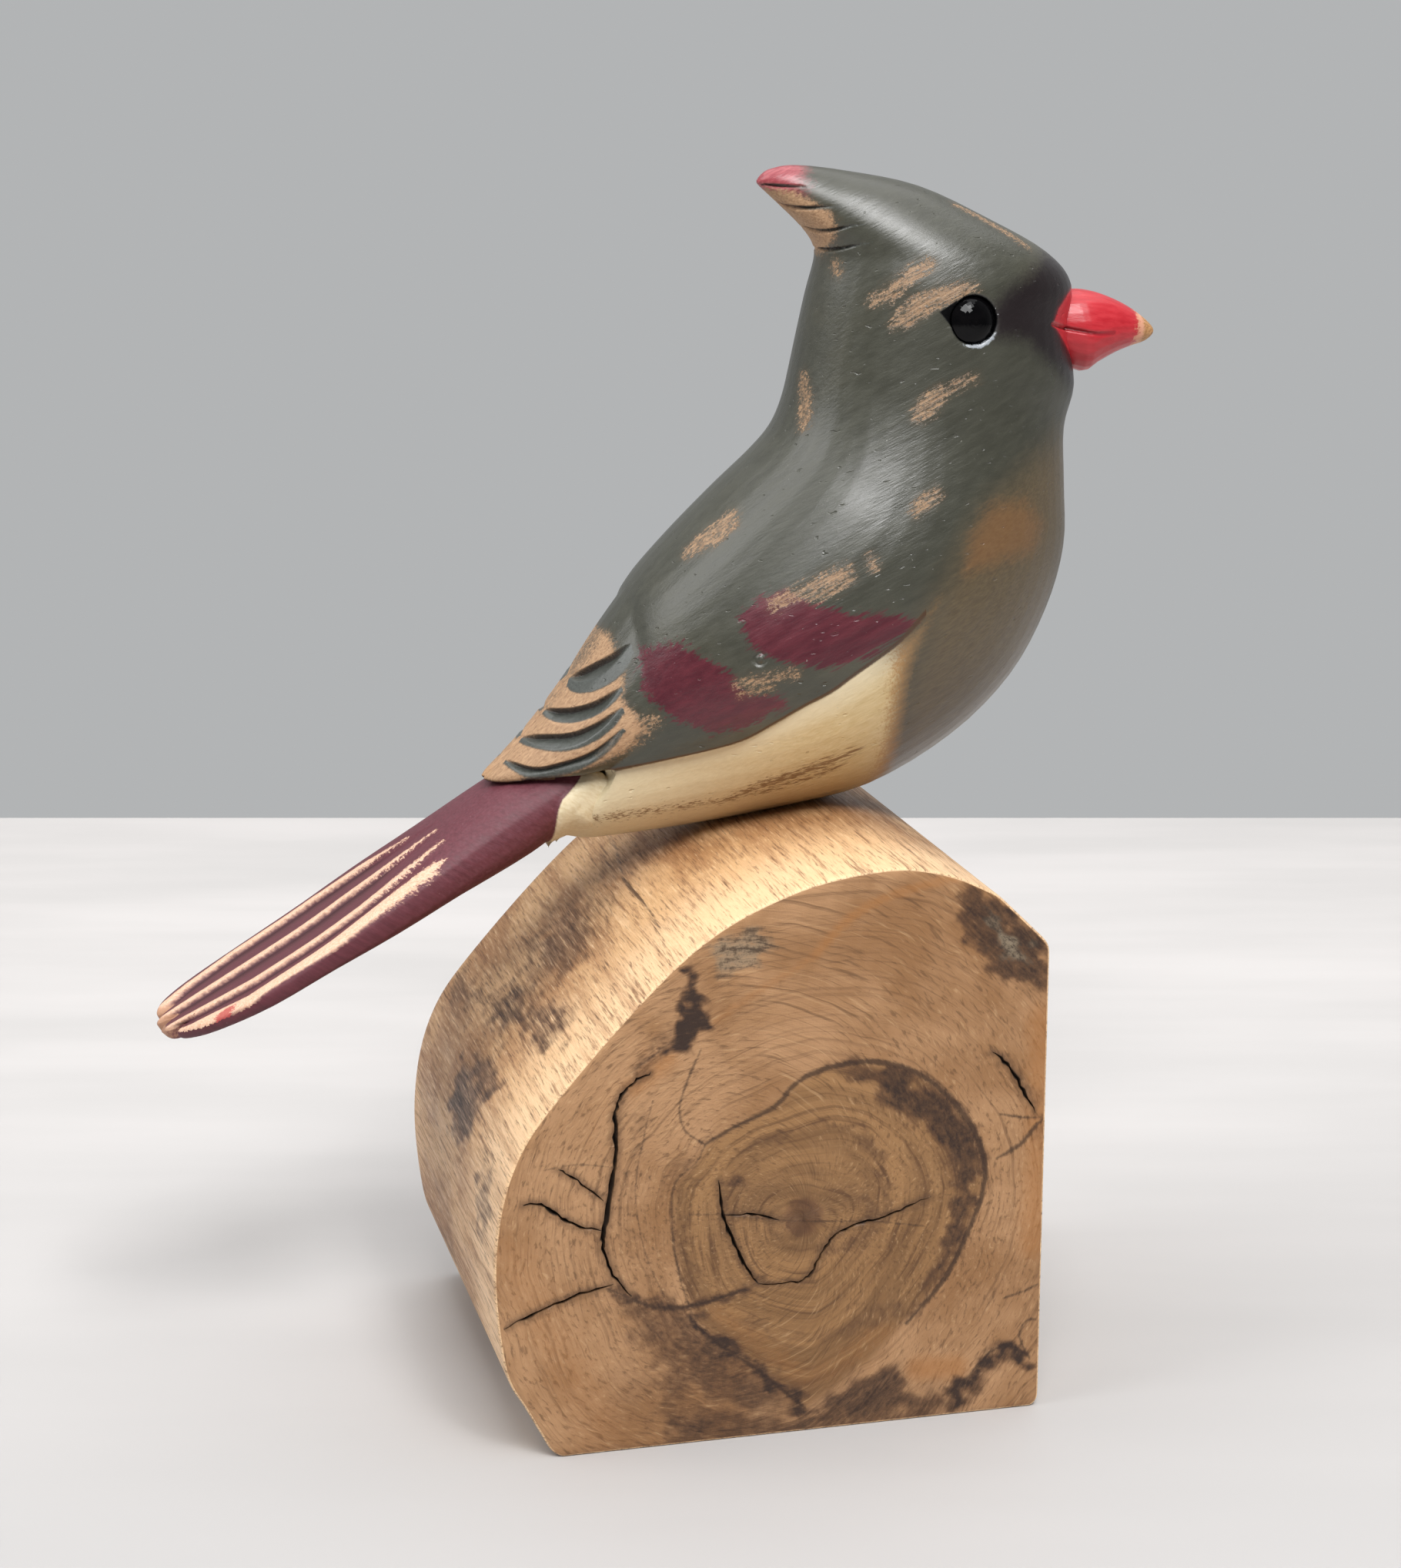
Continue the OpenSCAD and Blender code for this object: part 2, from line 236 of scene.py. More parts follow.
# Log: the pith, and what can be seen on its sawn ends as (x, z)
PITH = (0.0, 32.1)
HEART = [
    (-14, 43.9), (-9.8, 46.1), (-4.1, 48.5), (-1.6, 51.3), (2.3, 53.2), (7.4, 53.9), (12, 53.4),
    (16.6, 51.4), (20.9, 47.7), (24.3, 43.1), (26.1, 38.3), (26.2, 33.6), (24.4, 28.4),
    (22.4, 23.8), (20.1, 20), (15.2, 14.7), (10, 9.5), (5, 6), (0.4, 3.5), (-3.7, 7.4), (-7.7, 11),
    (-12.2, 14.6), (-15.2, 17.4), (-17.5, 24.5), (-18.4, 29.8), (-18.7, 35.8), (-18, 39),
    (-15.2, 41.4),
]
CRACKS = [
    ([(-21.6, 54.9), (-23.4, 53.8), (-25.3, 52.3), (-26.5, 49.5), (-26.3, 45), (-26.9, 40.5),
      (-27.9, 34), (-28.2, 30.1), (-27, 26.1), (-24.4, 22.8)], 0.42, 1.6),
    ([(-34.4, 42.1), (-31.9, 40.3), (-28.2, 37)], 0.22, 0.8),
    ([(-39.3, 37.4), (-36.9, 37.2), (-34.5, 35.3), (-32, 33.8), (-28.5, 32.7)], 0.34, 1.2),
    ([(-42.2, 19.8), (-38.4, 21.4), (-32.7, 23.4), (-27, 24.8)], 0.28, 1.4),
    ([(-12.1, 38.5), (-11.4, 33.1), (-9.5, 28.3), (-8.2, 25.5), (-6.4, 22.8)], 0.36, 1.2),
    ([(-6.4, 22.8), (-0.7, 22.4), (1.6, 24.2), (2.9, 26.8), (4.8, 28.9), (7.1, 30), (11, 30.7),
      (14.9, 32), (18.5, 33.3)], 0.28, 1),
    ([(-11.1, 33.4), (-7.2, 33.1), (-3.4, 31.9)], 0.26, 0.7),
    ([(27.1, 53.8), (29.8, 51.3), (31.8, 47.8), (33.6, 44.3)], 0.34, 1),
]
BACK_CRACKS = [
    ([(-3, 31), (-11, 27), (-20, 25), (-31, 18)], 0.34, 1.4),
    ([(2.5, 34.5), (9, 44), (13, 55), (15, 64)], 0.36, 1.5),
    ([(3, 29.5), (10, 20), (12, 12)], 0.26, 1),
]
# Thin dark lines in the wood of both ends: (points, half width)
INK_LINES = [
    (HEART[:16], 0.42),
    (HEART[-6:] + HEART[:1], 0.12),
    (HEART[18:23], 0.3),
    ([(-14, 43.9), (-16.8, 46.1), (-17.6, 49.4), (-16.5, 53.2), (-14.6, 57.5)], 0.14),
    ([(-16.2, 33.9), (-11.1, 33.4), (-3.4, 31.9), (3.1, 31.1), (10.3, 30.4), (17.6, 29)], 0.05),
    ([(28.1, 38.1), (31.4, 39.8), (33.7, 42.3), (35, 43.5)], 0.34),
    ([(28.5, 44.6), (31.5, 43.9), (34.6, 43.6)], 0.16),
    ([(29.6, 17), (32.4, 17.7), (35, 18.8)], 0.16),
    ([(35.1, 13.2), (33.1, 13.2), (32.1, 10.9), (33.7, 7.4)], 0.14),
    ([(-27.7, 24.2), (-21.3, 20.9), (-14.9, 20.6), (-8.5, 22.2)], 0.3),
    ([(24.4, 5.4), (26.4, 7.5), (28.5, 9.4), (31.1, 9.4), (33.7, 7.7)], 0.3),
    ([(-36.5, 42.2), (-32, 42.6), (-27, 41.8)], 0.02),
    ([(-21.3, 50.7), (-22.4, 46.5), (-23.8, 38), (-22.5, 29.1), (-19.8, 22.2)], 0.04),
    ([(-25, 54.6), (-20.6, 57.6), (-17, 60)], 0.1),
]
# Dark zones of both ends, stains and darker bands along their bottom: (outline, softness, strength)
DARK_ZONES = [
    ([(1, 52.9), (7.4, 54.1), (11.4, 53.5), (15.4, 51.7), (19.5, 49.1), (23.1, 45.7), (25.4, 42.2),
      (26.2, 39.1), (25.8, 35.5), (24.9, 31.5), (23.4, 27), (21.5, 22.5), (19.5, 20.1), (15, 14.4),
      (17.2, 18.8), (19, 22.5), (20, 26), (20.9, 28.8), (21.8, 32.8), (21.4, 36.9), (20.1, 40.2),
      (17.5, 43.2), (14.3, 45.4), (11, 48), (9.6, 50.6), (7, 52.4)], 1, 0.95),
    ([(-20.1, 21), (-17.1, 21.2), (-15.2, 17.4), (-12.2, 14.6), (-7.7, 11), (-3.7, 7.4), (0.4, 3.5),
      (-1.1, 2.9), (-5.2, 2.9), (-10.2, 3.9), (-14.2, 6.5), (-16.7, 9.9), (-18.6, 12.7)],
      1.4, 0.78),
    ([(2.4, 4.6), (5.9, 6.9), (10, 8), (13, 9.2), (15.1, 6.9), (18.2, 3.4), (21.9, 2.5),
      (24.4, 5.4), (26.4, 7.3), (28.5, 9.2), (31.1, 9.2), (33.7, 7.5), (33.8, 5.7), (30.6, 6.8),
      (28, 5.5), (25.5, 2.6), (21, 0.3), (15.2, 0.2), (10.1, 0.4), (4.9, 0.8), (1.4, 2.6)], 1, 0.8),
    # The next two zones darken the ends along the bottom
    ([(-20.1, 5.6), (-15.2, 6.1), (-5.2, 2.8), (1.4, 2.8), (15.2, 1.6), (15, -1), (-20, -1)],
      1.6, 0.85),
    ([(-31, -2), (-31, 10), (-23, 15), (-14, 20), (0, 13), (12, 9), (22, 7), (22, -2)], 4, 0.34),
    ([(-26.2, 23.9), (-22, 22.4), (-17.7, 19.7), (-16.6, 15.2), (-14.5, 10.4), (-16.1, 5),
      (-14.5, 0.8), (-19.9, 0.9), (-22, 5.6), (-20.4, 11.1), (-24.1, 16), (-26.2, 20.6)],
      1.5, 0.66),
    ([(21.5, 78.5), (24.5, 78.6), (34.8, 69.6), (35.6, 62.4), (31.7, 62.7), (27.2, 65.2),
      (23.9, 68.7), (21.4, 73.2)], 0.7, 0.9),
    ([(-17.6, 71.8), (-15.5, 68.4), (-14.3, 65.1), (-13.5, 61.9), (-14.5, 59.6), (-17.1, 57),
      (-19.5, 57.2), (-18.2, 60.6), (-16.8, 64.2), (-17.4, 68)], 0.5, 1.15),
    ([(-19.5, 57.2), (-22.2, 54.8), (-25, 53.8), (-21.6, 59.8), (-17.6, 62.2)], 1, 0.5),
    ([(-2.6, 31), (-1.6, 34.4), (0.6, 35.2), (2.6, 33.8), (2.8, 31), (1, 29.2), (-1.6, 29.2)],
      0.5, 0.5),
]
# Soft brown stains of both ends: (points, half width, strength)
STAINS = [
    ([(-16.2, 42), (-17.6, 37), (-17.2, 30), (-15.4, 24)], 1.6, 0.42),
    ([(-26.5, 23.4), (-20.1, 21), (-15.7, 21.1), (-10.7, 21.1), (-7.3, 23)], 1, 0.85),
    ([(-15.2, 17.4), (-12.2, 14.6), (-7.7, 11), (-3.7, 7.4), (0.4, 3.5)], 1.3, 1.05),
    ([(-13.5, 13.5), (-11, 10.5)], 2.4, 0.9),
    ([(21.9, 2.2), (24.4, 4.8), (26.4, 6.9), (28.5, 8.7), (31.1, 8.7), (33.4, 6.8)], 1.1, 1.15),
    ([(-8.3, 42.2), (-3.9, 44.3), (2, 45.5), (7.5, 44.3), (10.5, 40.5), (12.1, 36.3), (11.7, 32.7),
      (9.7, 29.8)], 0.8, 0.5),
    ([(-8.7, 17.3), (-3.7, 15.2), (1.3, 14.2), (7.8, 15), (13.9, 18)], 1.1, 0.46),
    ([(-11, 19), (-5, 17.8), (3, 17), (10, 18.4)], 0.6, 0.36),
    ([(-9.5, 37.5), (-11.6, 39)], 0.9, 0.75),
    ([(3, 26.4), (7, 27.4), (10, 28.6)], 1.6, 0.5),
    ([(8, 33.4), (11, 31.6)], 1.2, 0.5),
    ([(-23, 48), (-24.6, 38), (-24, 29)], 1, 0.3),
    ([(-19, 2), (-14, 1.6)], 1.6, 0.7),
    ([(26.4, 53.6), (30.4, 51), (34.6, 44.2), (34.8, 40)], 1.2, 0.42),
    ([(-12.5, 61.5), (-6, 65), (1.5, 69.4)], 0.5, 0.3),
]
# Grey patches, outlined as the dark ones, and warm stains
GREY_ZONES = [
    ([(-13.6, 73), (-10.3, 74.9), (-5.1, 74), (-3.5, 71.2), (-6.1, 67.7), (-11.4, 67),
      (-14.5, 68.8)], 1.4, 0.75),
    ([(25.2, 74.4), (29.6, 71.2), (32.8, 66.2), (28.4, 66.8)], 1.4, 1.1),
    ([(27.2, 65.2), (33.9, 61.4), (34, 58.6), (29.6, 60.2)], 1.2, 0.35),
    ([(-26.6, 52), (-18.6, 55), (-18.8, 40), (-19.6, 25), (-27.6, 27)], 3, 0.3),
]
WARM_STAINS = [
    ([(1.5, 69.9), (6.6, 74.8), (12.9, 77.6), (21.3, 79.3)], 1, 0.8),
    ([(-12.5, 61.5), (-6, 65.5), (1.5, 69.6)], 1, 0.6),
    ([(34.5, 58), (34.5, 40), (34, 25)], 3.4, 0.8),
    ([(17, 7.6), (22.6, 7.2)], 2.4, 0.95),
    ([(-19.4, 56.4), (-24, 53)], 2.2, 0.8),
    ([(-41, 30), (-34, 14), (-28, 4)], 6, 0.5),
    ([(-12, 19), (-4, 12), (2, 8), (12, 14)], 2.8, 0.5),
    ([(-30, 47), (-22, 58)], 3, 0.35),
]
# Dark stained zones of the round side, as outlines (y, z), and a seam that runs along it
SIDE_ZONES = [
    ([(6.6, 56.1), (-2, 57), (-9.3, 57.6), (-17.2, 58.6), (-22, 56), (-17.3, 53.3), (-6.5, 52.2),
      (0.8, 50), (7.6, 49.3), (14.7, 51.8)], 2, 0.95),
    ([(6.1, 45.2), (-4, 48.6), (-14.6, 47.7), (-11.3, 43.3), (-9.3, 38.3), (-4.1, 33.9),
      (6.6, 35.3), (9.4, 40.1)], 2, 0.95),
    ([(14.9, 65.4), (1.1, 68.6), (-8.1, 65.4), (-4.1, 59.3), (4.5, 55.7), (16.5, 57.8)], 2.4, 0.62),
    ([(33, 44), (8, 49.5), (14, 53.5), (34, 51)], 2, 0.7),
    ([(-26, 41), (-31, 34), (-24, 26), (-18, 30), (-18, 38)], 2.4, 0.7),
    ([(20, 71.5), (6, 74.5), (2, 72.5), (14, 69.5)], 1.4, 0.5),
    ([(36, 12), (6, 18), (2, 13), (36, 5)], 3, 0.4),
]
SIDE_LINE = [
    (-17.2, -35, 70.3), (-18, -29, 70), (-16.6, -14, 70.9), (-16.2, 5, 71), (-14.5, 20, 72.4),
    (-14, 35, 72.4),
]

# Spacing of the log's outline, of its rings along the side and of the grid on its ends; and the
# easing of its edges, as (distance from the end, distance from the outline)
LOG_STEP = 0.55
LOG_ROW = 0.85
LOG_BEVEL = [(0, 0.42), (0.12, 0.14), (0.4, 0)]
FACE_STEP = 0.6
SHARP_ANGLE = math.radians(38)
# What the log's layers of distances start from, away from every line
LOG_OFF = -3.0


# ---- measuring ----

def perch_point():
    """The point where the belly meets the log, in millimetres in the frame of the object."""
    low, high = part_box("perch_dowel")
    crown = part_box("log_base")[1].z / MM - SEAT_DEPTH
    return np.array([(low.x + high.x) / 2 / MM, (low.y + high.y) / 2 / MM, crown])


PERCH = perch_point()


def step(low, high, value):
    """Smooth step from 0 at low to 1 at high."""
    t = np.clip((value - low) / (high - low), 0, 1)
    return t * t * (3 - 2 * t)


def smooth_path(points, steps=8):
    """Points of a smooth curve through the given ones."""
    p = np.array(points, float)
    ends = np.vstack([2 * p[0] - p[1], p, 2 * p[-1] - p[-2]])
    t = np.linspace(0, 1, steps, endpoint=False)[:, None]
    rows = [
        0.5 * (2 * b + (c - a) * t + (2 * a - 5 * b + 4 * c - d) * t ** 2
               + (3 * b - a - 3 * c + d) * t ** 3)
        for a, b, c, d in zip(ends, ends[1:], ends[2:], ends[3:])
    ]
    return np.vstack(rows + [p[-1:]])


def nearest(points, path):
    """Each point's distance to a path, place along it from 0 to 1, offset and path direction."""
    runs = np.diff(path, axis=0)
    lengths = np.linalg.norm(runs, axis=1)
    starts = np.concatenate([[0], np.cumsum(lengths)])
    best = np.full(len(points), FAR * FAR)
    place = np.zeros(len(points))
    offset = np.zeros(points.shape)
    along = np.zeros(points.shape)
    for start, run, length, passed in zip(path, runs, lengths, starts):
        rel = points - start
        t = np.clip(rel @ run / length ** 2, 0, 1)
        off = rel - t[:, None] * run
        square = (off * off).sum(1)
        closer = square < best
        best[closer] = square[closer]
        place[closer] = ((passed + t * length) / starts[-1])[closer]
        offset[closer] = off[closer]
        along[closer] = run / length
    return np.sqrt(best), place, offset, along


def within(points, path, reach):
    """Which points lie in the box of a path grown by reach."""
    low, high = path.min(0) - reach, path.max(0) + reach
    return ((points > low) & (points < high)).all(1)


def signed_side(points, path):
    """Distance to an open path in a plane, positive on the right of its direction."""
    distance, _, offset, along = nearest(points, smooth_path(path))
    turn = along[:, 0] * offset[:, 1] - along[:, 1] * offset[:, 0]
    return np.where(turn < 0, distance, -distance)


def inside_distance(points, outline):
    """Distance to a closed outline in a plane, positive inside it."""
    corners = np.array(outline, float)
    closed = np.vstack([corners, corners[:1]])
    distance = nearest(points, closed)[0]
    inside = np.zeros(len(points), bool)
    for (ax, ay), (bx, by) in zip(closed, closed[1:]):
        if ay == by:
            continue
        crosses = (points[:, 1] > ay) != (points[:, 1] > by)
        inside ^= crosses & (points[:, 0] < ax + (points[:, 1] - ay) * (bx - ax) / (by - ay))
    return np.where(inside, distance, -distance)


def inside_any(points, outlines):
    """Distance inside the outline that a point lies deepest in."""
    return np.maximum.reduce([inside_distance(points, outline) for outline in outlines])


def streaks_distance(points, streaks, reach=4.0):
    """How far inside the nearest streak each point is, in mm, negative outside."""
    best = np.full(len(points), -reach)
    for path, half_width in streaks:
        path = smooth_path(path, 4)
        near = within(points, path, reach)
        distance, place, _, _ = nearest(points[near], path)
        taper = 0.45 + 0.55 * np.sin(np.pi * np.clip(place, 0.04, 0.96)) ** 0.5
        best[near] = np.maximum(best[near], half_width * taper - distance)
    return best


def zone_share(points, zones):
    """Strength of soft-edged zones at each point, from 0 to 1."""
    total = np.zeros(len(points))
    for outline, softness, strength in zones:
        corners = np.array(outline, float)
        near = within(points, corners, 3 * softness)
        distance = inside_distance(points[near], outline)
        total[near] = np.maximum(total[near], strength * step(-1.5 * softness, 1.9 * softness,
                                                             distance))
    return total


def stain_share(points, stains):
    """Strength of soft stains at each point, from 0 to 1."""
    total = np.zeros(len(points))
    for path, half_width, strength in stains:
        path = smooth_path(path, 4)
        near = within(points, path, 3 * half_width)
        distance = nearest(points[near], path)[0]
        total[near] = np.maximum(total[near], strength * np.exp(-(distance / half_width) ** 2))
    return total


# ---- meshes ----

def new_piece(name, mesh, node):
    """A finished piece that stands for a CAD node, which it hides."""
    piece = bpy.data.objects.new(name, mesh)
    bpy.context.scene.collection.objects.link(piece)
    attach(piece, BODY_NAME)
    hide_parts(node)
    return piece


def fine_mesh(node, voxel, passes):
    """An even, softened mesh of a CAD node's shape, in metres."""
    welded = bmesh.new()
    welded.from_mesh(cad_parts[node].data)
    bmesh.ops.remove_doubles(welded, verts=welded.verts, dist=1e-7)
    coarse = bpy.data.meshes.new(node + "_coarse")
    welded.to_mesh(coarse)
    welded.free()
    holder = bpy.data.objects.new(node + "_holder", coarse)
    bpy.context.scene.collection.objects.link(holder)
    remesh = holder.modifiers.new("even", "REMESH")
    remesh.mode = "VOXEL"
    remesh.voxel_size = voxel * MM
    soften = holder.modifiers.new("soften", "SMOOTH")
    soften.factor = 0.5
    soften.iterations = passes
    graph = bpy.context.evaluated_depsgraph_get()
    mesh = bpy.data.meshes.new_from_object(holder.evaluated_get(graph))
    bpy.data.objects.remove(holder)
    bpy.data.meshes.remove(coarse)
    mesh.materials.clear()
    return mesh


def refine(mesh, wanted):
    """Splits the faces whose centre, in mm about the perch, is wanted."""
    centres = np.zeros(len(mesh.polygons) * 3)
    mesh.polygons.foreach_get("center", centres)
    chosen = wanted(centres.reshape(-1, 3) / MM - PERCH)
    work = bmesh.new()
    work.from_mesh(mesh)
    work.faces.ensure_lookup_table()
    edges = {e for i in np.flatnonzero(chosen) for e in work.faces[i].edges}
    bmesh.ops.subdivide_edges(work, edges=list(edges), cuts=1, use_grid_fill=True)
    work.to_mesh(mesh)
    work.free()


def relax(mesh, chosen, passes):
    """Draws each chosen vertex towards the mean of its neighbours."""
    ends = np.zeros(len(mesh.edges) * 2, int)
    mesh.edges.foreach_get("vertices", ends)
    ends = ends.reshape(-1, 2)
    places, _ = coordinates(mesh)
    picked = chosen(places - PERCH)
    for _ in range(passes):
        total = np.zeros(places.shape)
        count = np.zeros(len(places))
        for a, b in ((0, 1), (1, 0)):
            np.add.at(total, ends[:, a], places[ends[:, b]])
            np.add.at(count, ends[:, a], 1)
        places[picked] = 0.4 * places[picked] + 0.6 * (total / count[:, None])[picked]
    set_coordinates(mesh, places)


def coordinates(mesh):
    """Vertex places in mm in the frame of the object, and vertex normals."""
    count = len(mesh.vertices)
    places = np.zeros(count * 3)
    normals = np.zeros(count * 3)
    mesh.vertices.foreach_get("co", places)
    mesh.vertex_normals.foreach_get("vector", normals)
    return places.reshape(-1, 3) / MM, normals.reshape(-1, 3)


def set_coordinates(mesh, places):
    """Moves the vertices to places in mm, and shades the mesh smooth."""
    mesh.vertices.foreach_set("co", (places * MM).astype(np.float32).ravel())
    mesh.update()
    mesh.shade_smooth()


def paint(mesh, **layers):
    """Stores a number at each vertex for every layer, for the materials to read."""
    for name, values in layers.items():
        layer = mesh.attributes.new(name, "FLOAT", "POINT")
        layer.data.foreach_set("value", np.asarray(values, np.float32))


# ---- bird ----

def near_side(points):
    """Points folded onto the side at negative y."""
    return np.column_stack([points[:, 0], -np.abs(points[:, 1]), points[:, 2]])


def cut_field(points, normals, cuts, fullest=1.2):
    """Depth of feather cuts at each point, and how far inside a cut and its upper lip it is."""
    depth = np.zeros(len(points))
    inside = np.full(len(points), -FAR)
    cut_lip_shade = np.full(len(points), -FAR)
    for path, width, deepest, grey in cuts:
        path = smooth_path(path)
        near = within(points, path, width + 4)
        _, place, offset, along = nearest(points[near], path)
        normal = normals[near]
        offset = offset - (offset * normal).sum(1)[:, None] * normal
        down = np.array([0, 0, -1.0]) - along * -along[:, 2:3]
        below = np.linalg.norm(offset, axis=1) * np.sign((offset * down).sum(1))
        lens = np.sin(np.pi * np.clip(place, 0.01, 0.99) ** fullest) ** 0.8
        span = width * lens
        slope = np.clip(1 - below / span, 0, 1)
        cut = deepest * np.minimum(1, 1.5 * lens) * slope * step(-0.12, 0.14, below)
        ended = (place <= 0) | (place >= 1)
        cut[ended] = 0
        depth[near] = np.maximum(depth[near], cut)
        tapered = grey * np.sin(np.pi * np.clip(place, 0.03, 0.97)) ** 0.35
        reach = np.where(ended, -0.6, np.minimum(below + 0.05, tapered - below))
        inside[near] = np.maximum(inside[near], reach)
        # The band of painted shade along the upper lip of the cut, where it drops into the groove
        line = (0.02 + 0.18 * lens) - np.abs(below - 0.02)
        line[ended] = -FAR
        cut_lip_shade[near] = np.maximum(cut_lip_shade[near], line)
    return depth, inside, cut_lip_shade


def body_needs_detail(points):
    """Where the body carries cuts too fine for its even mesh."""
    x, z = points[:, 0], points[:, 2]
    wing_tips = (x < -24) & (z > 3.5) & (z < 30)
    crest = (x < 9) & (z > 78.5)
    edge = np.abs(signed_side(points[:, [0, 2]], WING_EDGE))
    step_line = (edge < 1.1) & (x > -36) & (x < 17)
    knot = np.linalg.norm(points - KNOT, axis=1) < 2.2
    face = np.linalg.norm(points[:, [0, 2]] - EYE_CENTRE, axis=1) < 6
    face |= (x > FACE_REAR) & (z > HEAD_BOTTOM)
    return wing_tips | crest | step_line | knot | face


def wing_step(side, below_edge):
    """How far the belly lies behind the wing, which fades out under the shoulder."""
    x = side[:, 0]
    depth = WING_STEP_FRONT + WING_STEP_MORE * (1 - step(-26, 8, x))
    depth = depth * (1 - step(6, 15.5, x)) * step(-37, -33, x)
    return depth * step(-0.12, 0.25, below_edge) * (1 - step(1, 9, below_edge))


def knot_dent(points):
    """A small ringed knot mark in the paint of the wing."""
    radius = np.linalg.norm(points - KNOT, axis=1)
    return 0.28 * np.exp(-((radius - 0.8) / 0.28) ** 2) - 0.1 * np.exp(-(radius / 0.4) ** 2)


def tip_split(points):
    """The groove that parts the two wing tips."""
    path = smooth_path(TIP_SPLIT)
    _, place, offset, _ = nearest(points, path)
    across = np.abs(points[:, 1])
    near = np.linalg.norm(offset[:, [0, 2]], axis=1) < 3.0
    groove = TIP_SPLIT_DEPTH * np.clip(1 - across / TIP_SPLIT_HALF_WIDTH, 0, 1)
    return near * step(0.05, 0.6, place) * groove


def lid_path():
    """The lower lid as an arc under the eye, seen from the side."""
    angles = np.radians(np.linspace(*LID_ANGLES, 14))
    radius = EYE_RADIUS + 0.45
    return np.column_stack([EYE_CENTRE[0] + radius * np.cos(angles),
                            EYE_CENTRE[1] + radius * np.sin(angles)])


def head_layers(points, side):
    """Paint layers of the head: dark mask, red gape, lids and the pink tip of the crest."""
    on_head = side[:, 1] > HEAD_BOTTOM
    lid, place, _, _ = nearest(side, lid_path())
    lid = LID_HALF_WIDTH * np.sin(np.pi * np.clip(place, 0.05, 0.95)) ** 0.6 - lid
    corner = inside_distance(side, EYE_CORNER)
    rim = EYE_RADIUS + 0.3 - np.linalg.norm(side - EYE_CENTRE, axis=1)
    layers = {"mask": inside_distance(side, MASK), "gape": inside_distance(side, GAPE),
              "lid": lid, "liner": np.maximum(corner, rim)}
    layers = {name: np.where(on_head, inside, -FAR) for name, inside in layers.items()}
    layers["crest_tip"] = CREST_TIP_RADIUS - np.linalg.norm(points - CREST_TIP, axis=1)
    return layers


def body_layers(points, groove, cut_lip_shade):
    """Paint layers of the body, as distances in mm inside each coat."""
    side = points[:, [0, 2]]
    folded = near_side(points)
    below_edge = signed_side(side, WING_EDGE)
    layers = head_layers(points, side)
    layers.update({
        "cream": np.minimum(below_edge, signed_side(side, CREAM_FRONT)),
        "edge": np.where(side[:, 0] < 14, below_edge, FAR),
        "breast": signed_side(side, BREAST_EDGE),
        "maroon": inside_any(side, MAROON_ZONES),
        "orange": inside_distance(side, ORANGE_ZONE),
        "worn": np.minimum(inside_any(side, WORN_ZONES), 0.3 - 2.5 * groove),
        "bare": streaks_distance(points, NEAR_STREAKS + FAR_STREAKS),
        "groove": groove,
        "cut_lip_shade": cut_lip_shade,
        "marks": streaks_distance(folded, BELLY_MARKS),
        "tip_wear": WING_TIP_RADIUS - np.linalg.norm(folded - WING_TIP, axis=1),
    })
    return layers


def mouth_slit(points):
    """Depth of the slit between the two halves of the beak, on the beak and back on the face."""
    distance, place, _, _ = nearest(points[:, [0, 2]], smooth_path(MOUTH))
    depth = MOUTH_DEPTH * np.clip(1 - distance / MOUTH_HALF_WIDTH, 0, 1)
    depth *= 1 - step(0.55, 1, place)
    return depth * step(0.3, 1.2, np.abs(points[:, 1])), distance


def wedge_under_tail(points):
    """The thin rim of the body under the root of the tail."""
    return (points[:, 0] < -32.5) & (points[:, 2] < 1.5)


def make_body():
    """The carved body with its wing edges, feather cuts, crest slits and paint layers."""
    mesh = fine_mesh("bird_body", voxel=0.4, passes=5)
    relax(mesh, wedge_under_tail, 12)
    refine(mesh, body_needs_detail)
    places, normals = coordinates(mesh)
    points = places - PERCH
    side = points[:, [0, 2]]
    folded, folded_normals = near_side(points), near_side(normals)
    wing = cut_field(folded, folded_normals, WING_CUTS)
    crest = cut_field(folded, folded_normals, CREST_CUTS, fullest=1.6)
    depth, groove, cut_lip_shade = (np.maximum(a, b) for a, b in zip(wing, crest))
    depth += wing_step(side, signed_side(side, WING_EDGE)) + (knot_dent(points) + tip_split(points))
    on_face = (points[:, 0] > FACE_REAR) & (points[:, 2] > FACE_BOTTOM)
    depth += np.where(on_face, mouth_slit(points)[0], 0)
    set_coordinates(mesh, places - normals * depth[:, None])
    paint(mesh, **body_layers(points, groove, cut_lip_shade))
    return mesh


def tail_frame(points):
    """Places along the tail's own axis and across it."""
    x, z = points[:, 0] - TAIL_ROOT[0], points[:, 2] - TAIL_ROOT[1]
    return -(x * math.cos(TAIL_FALL) + z * math.sin(TAIL_FALL)), points[:, 1]


def feather_drop(along, across, edges):
    """Depth below the tail's face: each feather rises to its edge and drops behind it."""
    depth = np.zeros(len(along))
    bounds = [np.interp(along, *np.array(e, float).T) for e in edges]
    low = np.interp(along, *np.array(NEAR_WEAR, float).T)
    for edge, next_edge in zip(bounds, bounds[1:] + [low]):
        past = edge - across
        share = np.clip(past / np.maximum(edge - next_edge, 0.5), 0, 1)
        depth = np.maximum(depth, (1 - share) * step(-0.2, 0.5, past) * (past < edge - next_edge))
    return depth * FEATHER_DROP * step(FEATHER_RUN_IN - 3, FEATHER_RUN_IN + 14, along)


